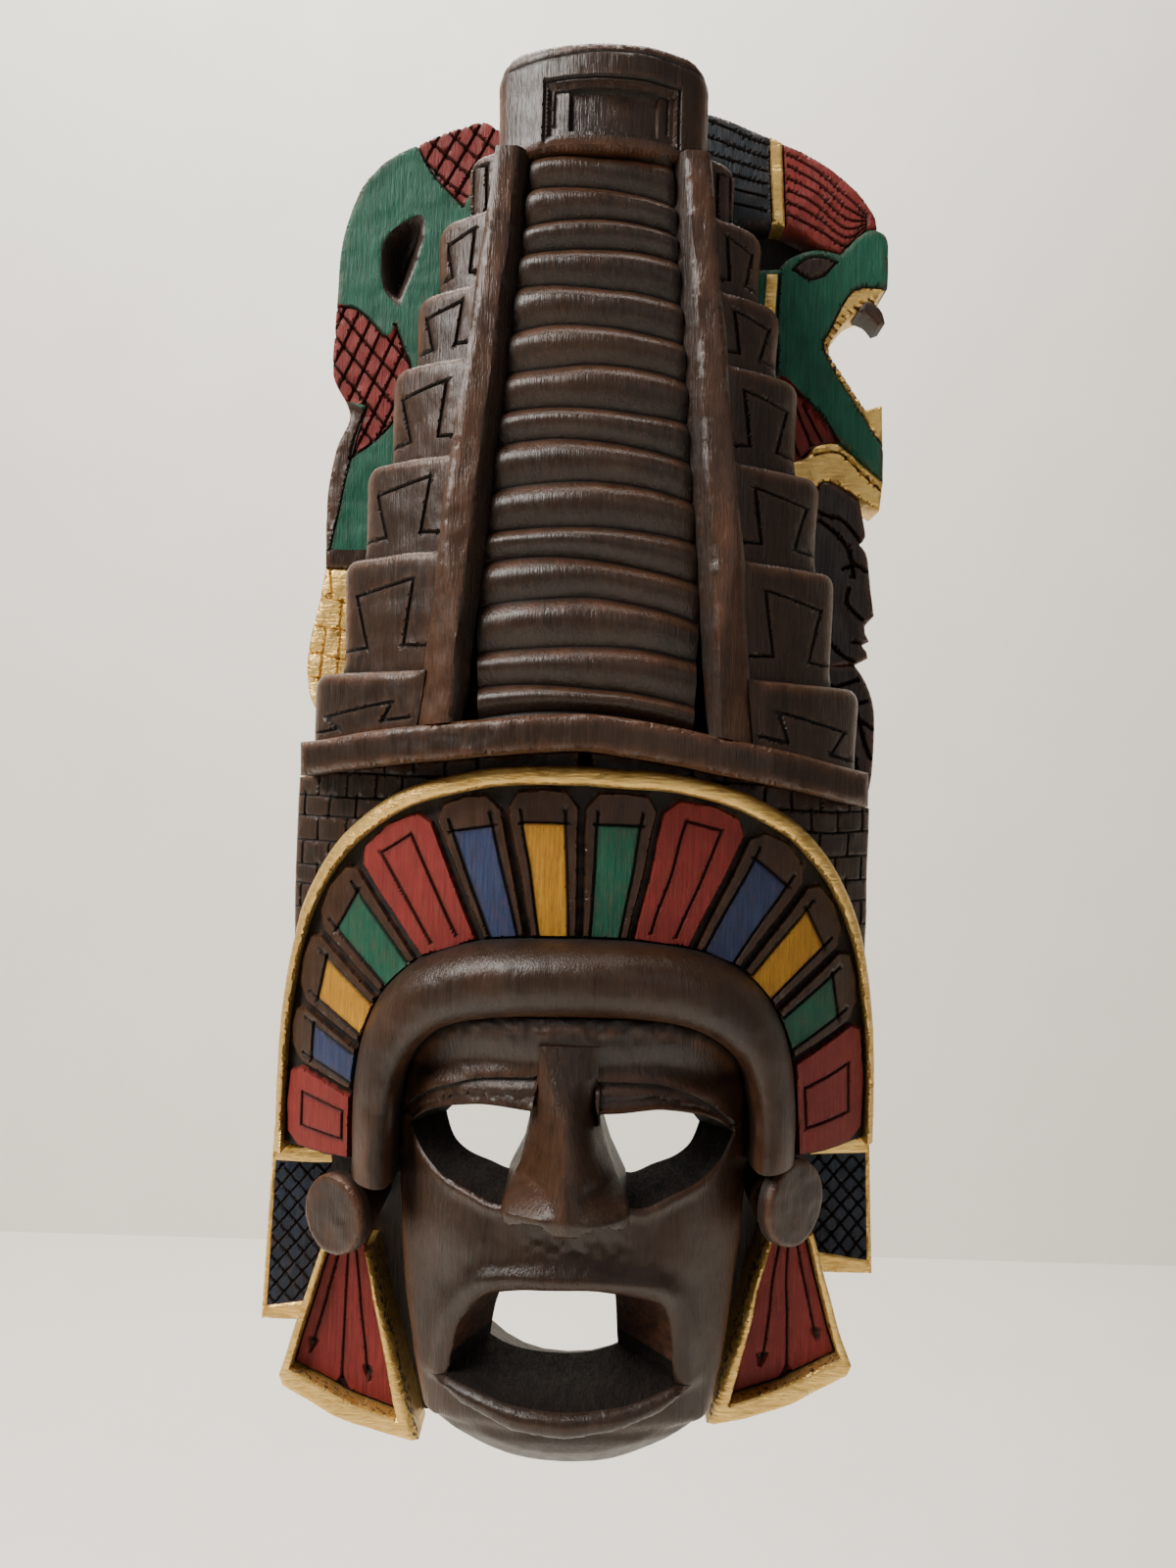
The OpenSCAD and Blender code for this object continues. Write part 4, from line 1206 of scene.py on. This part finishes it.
def figure(name, outline, mat, slot, replaces, fields=(), lines=(), sharp=(), seed=90, width=1.3, deep=1.3,
           shape=None):
    """A flat side figure, cut off where the block and the ledge stand."""
    carve(name, curve(outline, sharp), level(FIGURE_FRONT), mat, replaces, slot, cuts=[BLOCK, LEDGE_CUT],
          fields=fields, grooves=[(q, width, deep) for q in lines], edge=1.6, cell=1.5, marks=0.3,
          floor=BEHIND_FIGURES, seed=seed, wall_shade=0.3, shape=shape)


def serpent_body():
    outline = [(-30, 246), (-60, 79), (-101, 79), (-101, 86), (-101.5, 99), (-101.5, 109), (-98.5, 125),
               (-94, 136), (-95, 142), (-99.5, 150), (-101, 160), (-99.5, 183.5), (-98, 204.5), (-92.5, 222),
               (-83.5, 234), (-71, 241.5), (-55, 248.5), (-46, 251), (-38, 247.5)]
    top = [(-73, 243), (-67.5, 235), (-61.5, 227.5), (-52.5, 218.5), (-45.5, 231.5), (-30, 240), (-30, 256),
           (-60, 256)]
    middle = [(-102, 181), (-92.5, 178), (-86.5, 173.5), (-81.5, 168), (-79, 168.5), (-77, 172.5), (-73, 162),
              (-71, 157.5), (-72, 148.5), (-76.5, 136.5), (-85, 127), (-93, 121), (-91, 130.5), (-87, 141.5),
              (-96, 143), (-103, 150)]
    leaf = curve([(-68.5, 214), (-67, 207.5), (-69.5, 196), (-73.5, 184.5), (-75.5, 179), (-81.5, 185),
                  (-83, 196.5), (-82, 204.5), (-76, 211)][::-1], sharp={4})
    strip = [(-88, 140), (-97, 144), (-106, 112), (-106, 86), (-99.6, 86), (-97, 100), (-94.4, 114),
             (-91.2, 127)]
    foot = [(-102, 86), (-84, 86.8), (-60, 87), (-60, 78), (-102, 78)][::-1]
    lines = open_curves(
        [(-71, 241.5), (-67.5, 235), (-61.5, 227.5), (-52.5, 218.5)],
        [(-99.5, 179), (-92.5, 178), (-86.5, 173.5), (-81.5, 168)],
        [(-77, 172.5), (-73, 162), (-71, 157.5), (-72, 148.5), (-76.5, 136.5), (-85, 127), (-93, 121)],
        [(-93, 121), (-91, 130.5), (-87, 141.5)],
        [(-87.6, 140), (-90.9, 127), (-94.1, 114), (-96.7, 100), (-99.3, 86)])
    lines += hatch(top, 62, 5.6) + hatch(top, -38, 7.0) + hatch(middle, 66, 5.4) + hatch(middle, -48, 7.4)
    fields = [dict(poly=top, rise=-0.4, bevel=1, mat=RED), dict(poly=middle, rise=-0.4, bevel=1, mat=RED),
              # The leaf pocket is deep and darkened with painted shade.
              dict(poly=leaf, rise=-11, bevel=7, mat=WOOD, cav=0.85),
              dict(poly=strip, rise=-0.8, bevel=1, mat=WOOD, cav=0.1, wear=0.4),
              dict(poly=foot, rise=0, bevel=1, mat=WOOD)]
    figure("serpent_body_carved", outline, GREEN, "green_paint", ["serpent_body"], fields=fields, lines=lines,
           sharp={0, 1, 2, 18}, seed=90)


def gold_scales():
    outline = [(-60, 79), (-101, 79), (-103, 67), (-106, 54), (-107, 43), (-106, 32), (-103.5, 26), (-60, 26)]
    rows = [[(-103, 68.5), (-84, 64)], [(-105, 57.5), (-84, 54)], [(-106, 47.5), (-84, 43)],
            [(-106.5, 38.5), (-84, 33)], [(-99, 78), (-98, 68)], [(-94, 67), (-95, 57)],
            [(-100, 56), (-101, 47)], [(-94.5, 55), (-95, 45)], [(-101, 46), (-102, 37)],
            [(-95, 45), (-95.5, 36)]]
    figure("gold_scales_carved", outline, GOLD, "gold_paint", ["gold_scales"], lines=rows, sharp={0, 1, 6, 7},
           seed=91, width=1.1, deep=0.8, shape=lambda x, z, d, cav, wear: (d, cav * 0.3, wear))


def serpent_crest():
    outline = [(30, 214), (68.5, 214.5), (82.5, 207.5), (91, 204.5), (98.5, 211.5), (105.5, 214.5),
               (103.5, 220.5), (95.5, 230), (83.5, 239), (63, 248.5), (40, 256.6), (30, 257)]
    blue = [(20, 200), (65.6, 200), (62.6, 262), (20, 262)]
    bar = [(65.6, 200), (70.4, 200), (67.6, 262), (62.6, 262)]
    lines = []
    for k in range(6):
        t = (k + 0.6) / 6
        lines += open_curves([(37, 221 + 36 * t), (50, 219 + 33 * t), (62.6, 217 + 30 * t)],
                             [(71, 216 + 27 * t), (82, 211 + 26 * t), (93, 206 + 22 * t ** 1.2),
                              (101, 213 + 7 * t)])
    lines += [[(65, 216), (63.4, 248)], [(70.2, 215), (68.6, 245)]]
    # A sunk backing between crest and head, made near black: painted shade in the gap.
    web = [(30, 216), (67, 215.5), (81.5, 208.5), (81.5, 206), (72, 202.5), (68, 198.5), (30, 197)]
    carve("serpent_shade_web", web, level(7.8), WOOD, ["serpent_crest"], "stained_wood", cuts=[BLOCK],
          floor=BEHIND_FIGURES, edge=0, marks=0.3, seed=97,
          shape=lambda x, z, d, cav, wear: (d, cav + 0.95, wear))
    fields = [dict(poly=blue, rise=-0.3, bevel=1, mat=SLATE), dict(poly=bar, rise=0.4, bevel=0.8, mat=GOLD)]
    figure("serpent_crest_carved", outline, RED, "red_paint", ["serpent_crest"], lines=lines,
           sharp={0, 3, 5, 11}, seed=92, fields=fields, width=1.1, deep=1.2)


def serpent_head():
    outline = [(40, 125), (77, 125), (84.5, 131.5), (93, 133), (102, 125), (110.5, 118), (110, 134.5),
               (109.2, 147.6), (102.9, 145.8), (100, 150), (94.2, 159.1), (88.8, 167), (89, 171.5),
               (91.8, 176.4), (96.3, 182.1), (101, 184.3), (105, 186), (107, 190), (110, 192), (110, 203),
               (109, 211.5), (103.5, 214), (98.5, 211.5), (91, 204.5), (81.5, 206), (72, 202.5), (68, 198.5),
               (40, 197)]
    mouth = curve([(112, 191.6), (105.5, 191.6), (98, 191.3), (93.4, 186.6), (88.2, 175.4), (85.8, 169.8),
                   (90.4, 160.8), (97.2, 149.9), (110.4, 131)], closed=False)
    gum = mouth + [(118, 131), (118, 191.6)]
    eye = [(73.5, 198.2), (77.8, 201.9), (84, 203), (89.4, 201.1), (85.4, 196.6), (79.6, 194.6)]
    bar = [(63.4, 157), (67.4, 157), (67.4, 196), (63.4, 196)]
    neck = curve([(66, 146), (70, 157.5), (82, 147.5), (88.5, 140.5), (94, 133.5), (84, 131), (76, 124),
                  (60, 124)],
                 sharp={0, 4, 7})
    lines = [mouth, *open_curves(eye[:4], [eye[0], *eye[:2:-1]], [(70, 157), (82, 147.5), (88.5, 140.5),
                                                                  (93, 133.5)]),
             [(68.3, 158), (68.3, 196)],
             [(71, 149), (78, 128)], [(75, 150), (83, 132)], [(79, 148), (87, 134)], [(67, 144), (73, 126)]]
    teeth = curve([(106, 187), (96.3, 182.6), (91, 176), (88.6, 169.5), (94, 159.5), (103, 146.5)],
                  closed=False, step=3.0)
    lines += [[(x + 0.5, z), (x - 1.3, z + (0.9 if z > 169 else -0.9))] for x, z in teeth[1:-1]]
    fields = [dict(poly=gum, rise=-0.5, bevel=1.2, mat=GOLD),
              dict(poly=curve(eye, sharp={0, 3}), rise=0.5, bevel=1, mat=WOOD),
              dict(poly=bar, rise=0.3, bevel=0.8, mat=GOLD), dict(poly=neck, rise=-2.5, bevel=1.2, mat=RED)]
    figure("serpent_head_carved", outline, GREEN, "green_paint", ["serpent_head"], fields=fields, lines=lines,
           sharp={0, 1, 5, 7, 8, 18, 23, 26, 27}, seed=93, width=1.1, deep=1.2)
    fang = curve([(98.5, 182.8), (101.2, 186.6), (105, 185.4), (108, 182.2), (109.2, 178.4), (106.5, 177.2),
                  (103, 181)], sharp={0, 4, 5})
    carve("serpent_fang", fang, level(19.9), WOOD, ["serpent_head"], "stained_wood", floor=6, edge=1.4,
          cell=1.0, marks=0.2, seed=98, shape=lambda x, z, d, cav, wear: (d, np.maximum(cav, 0.5), wear))


def jaw_collar():
    outline = [(50, 112), (74.5, 112.5), (82, 109.5), (85, 115), (89.5, 117.5), (102, 111), (109.5, 107),
               (110.5, 118), (102, 125), (93, 133), (84.5, 131.5), (77, 125), (50, 125)]
    groove = open_curves([(84.5, 128), (93, 129), (101, 122), (109.8, 114.5)])
    figure("jaw_collar_carved", outline, GOLD, "gold_paint", ["jaw_collar"], lines=groove,
           sharp={0, 2, 6, 7, 9, 12}, seed=94)


def warrior():
    outline = [(60, 48.5), (101.5, 48.5), (106.5, 51.2), (106, 53.5), (104, 56), (107, 57.2), (105.2, 60.5),
               (105, 63), (108.5, 67), (107.5, 74), (106, 84), (104.5, 91), (102, 94), (104.5, 97),
               (103.5, 104), (102, 111), (89.5, 117.5), (85, 115), (82, 109.5), (74.5, 112), (50, 112)]
    lines = open_curves([(84, 106.5), (89, 104.3), (95.5, 102.5), (102.5, 94.6)],
                        [(86, 102.5), (93, 97.5), (98, 91), (100, 82)],
                        [(98.5, 77), (97.8, 71.5), (103.5, 65.5)], [(96, 84.5), (100.5, 86), (104, 84)],
                        [(101, 57), (105, 56.4)], [(88, 60), (96, 52), (101, 50)])
    figure("warrior_head_carved", outline, WOOD, "stained_wood", ["warrior_head"], lines=lines,
           sharp={1, 2, 5, 8, 12, 15, 18}, seed=95, width=1.6, deep=1.8)
    outline = [(60, 48.5), (70, 40), (95, -4), (107.5, -4), (109.5, 7), (110, 22), (109, 33.5), (105.5, 42.5),
               (101.5, 48.5)]
    lines = [[(88, 43), (93, 40), (101.5, 33), (106.5, 34.5)], [(94.5, 39.5), (102.5, 43)],
             [(101.5, 33), (106.5, 17.5), (108.5, 13)], [(103.5, 27.5), (109, 24)],
             [(97, 25), (103, 12), (104, 2)]]
    figure("warrior_shoulder_carved", outline, WOOD, "stained_wood", ["warrior_shoulder"], lines=lines,
           sharp={0, 2, 3, 8}, seed=96, width=1.8, deep=2.0)


# ---- stage, light and camera ----

def stage_plane(name, corners, mat):
    mesh = bpy.data.meshes.new(name)
    mesh.from_pydata(corners, [], [(0, 1, 2, 3)])
    mesh.materials.append(mat)
    obj = bpy.data.objects.new(name, mesh)
    bpy.context.collection.objects.link(obj)


def stage():
    pale = plain_stage()
    w, floor, wall = 6.0, CAD_BOX[0][2] - 0.45, 1.3
    stage_plane("floor", [(-w, -w, floor), (w, -w, floor), (w, wall, floor), (-w, wall, floor)], pale)
    stage_plane("backdrop", [(-w, wall, floor), (w, wall, floor), (w, wall, w), (-w, wall, w)], pale)


def area_light(name, place, size, energy, colour=(1, 1, 1), at=(0, 0, 0)):
    data = bpy.data.lights.new(name, "AREA")
    data.shape, data.size, data.size_y = "RECTANGLE", size[0], size[1]
    data.energy, data.color = energy, colour
    obj = bpy.data.objects.new(name, data)
    obj.location = place
    obj.rotation_euler = (Vector(at) - Vector(place)).to_track_quat("-Z", "Y").to_euler()
    bpy.context.collection.objects.link(obj)


def lights():
    world = bpy.data.worlds.new("soft_studio")
    world.use_nodes = True
    world.node_tree.nodes["Background"].inputs[0].default_value = (0.9, 0.88, 0.85, 1)
    world.node_tree.nodes["Background"].inputs[1].default_value = 0.16
    bpy.context.scene.world = world
    area_light("key", (-0.95, -0.7, 0.95), (0.6, 0.8), 46, (1, 0.95, 0.9))
    area_light("fill", (0.9, -1.6, 0.5), (1.2, 1.2), 4, (0.93, 0.96, 1))
    area_light("wall_wash", (-0.5, 0.3, 2.3), (2.4, 0.8), 110, (1, 0.975, 0.93), (0, 1.3, 0))


def camera():
    data = bpy.data.cameras.new("camera")
    data.lens, data.sensor_width = 27.2, 36
    obj = bpy.data.objects.new("camera", data)
    obj.location = (0.0014, -0.470, 0)
    roll = Matrix.Rotation(math.radians(-1.7), 4, "Y")
    obj.rotation_euler = (roll @ Matrix.Rotation(math.radians(90), 4, "X")).to_euler()
    bpy.context.collection.objects.link(obj)
    bpy.context.scene.camera = obj


camera()
lights()
stage()
temple()
stair()
for side in ("left", "right"):
    balustrade(side)
    for i in range(1, 8):
        terrace(side, i)
    brick_wall(side)
    ear_spool(side)
    pendant(side)
    side_panel(side)
base_ledge()
for i in range(1, 14):
    feather(i)
gold_rim()
headband()
face()
nose()
lower_lip()
serpent_body()
gold_scales()
serpent_crest()
serpent_head()
jaw_collar()
warrior()

for node, mat in (("carved_block", WOOD), ("screw_eyes", STEEL), ("hanging_bail", STEEL)):
    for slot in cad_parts[node].material_slots:
        slot.material = mat
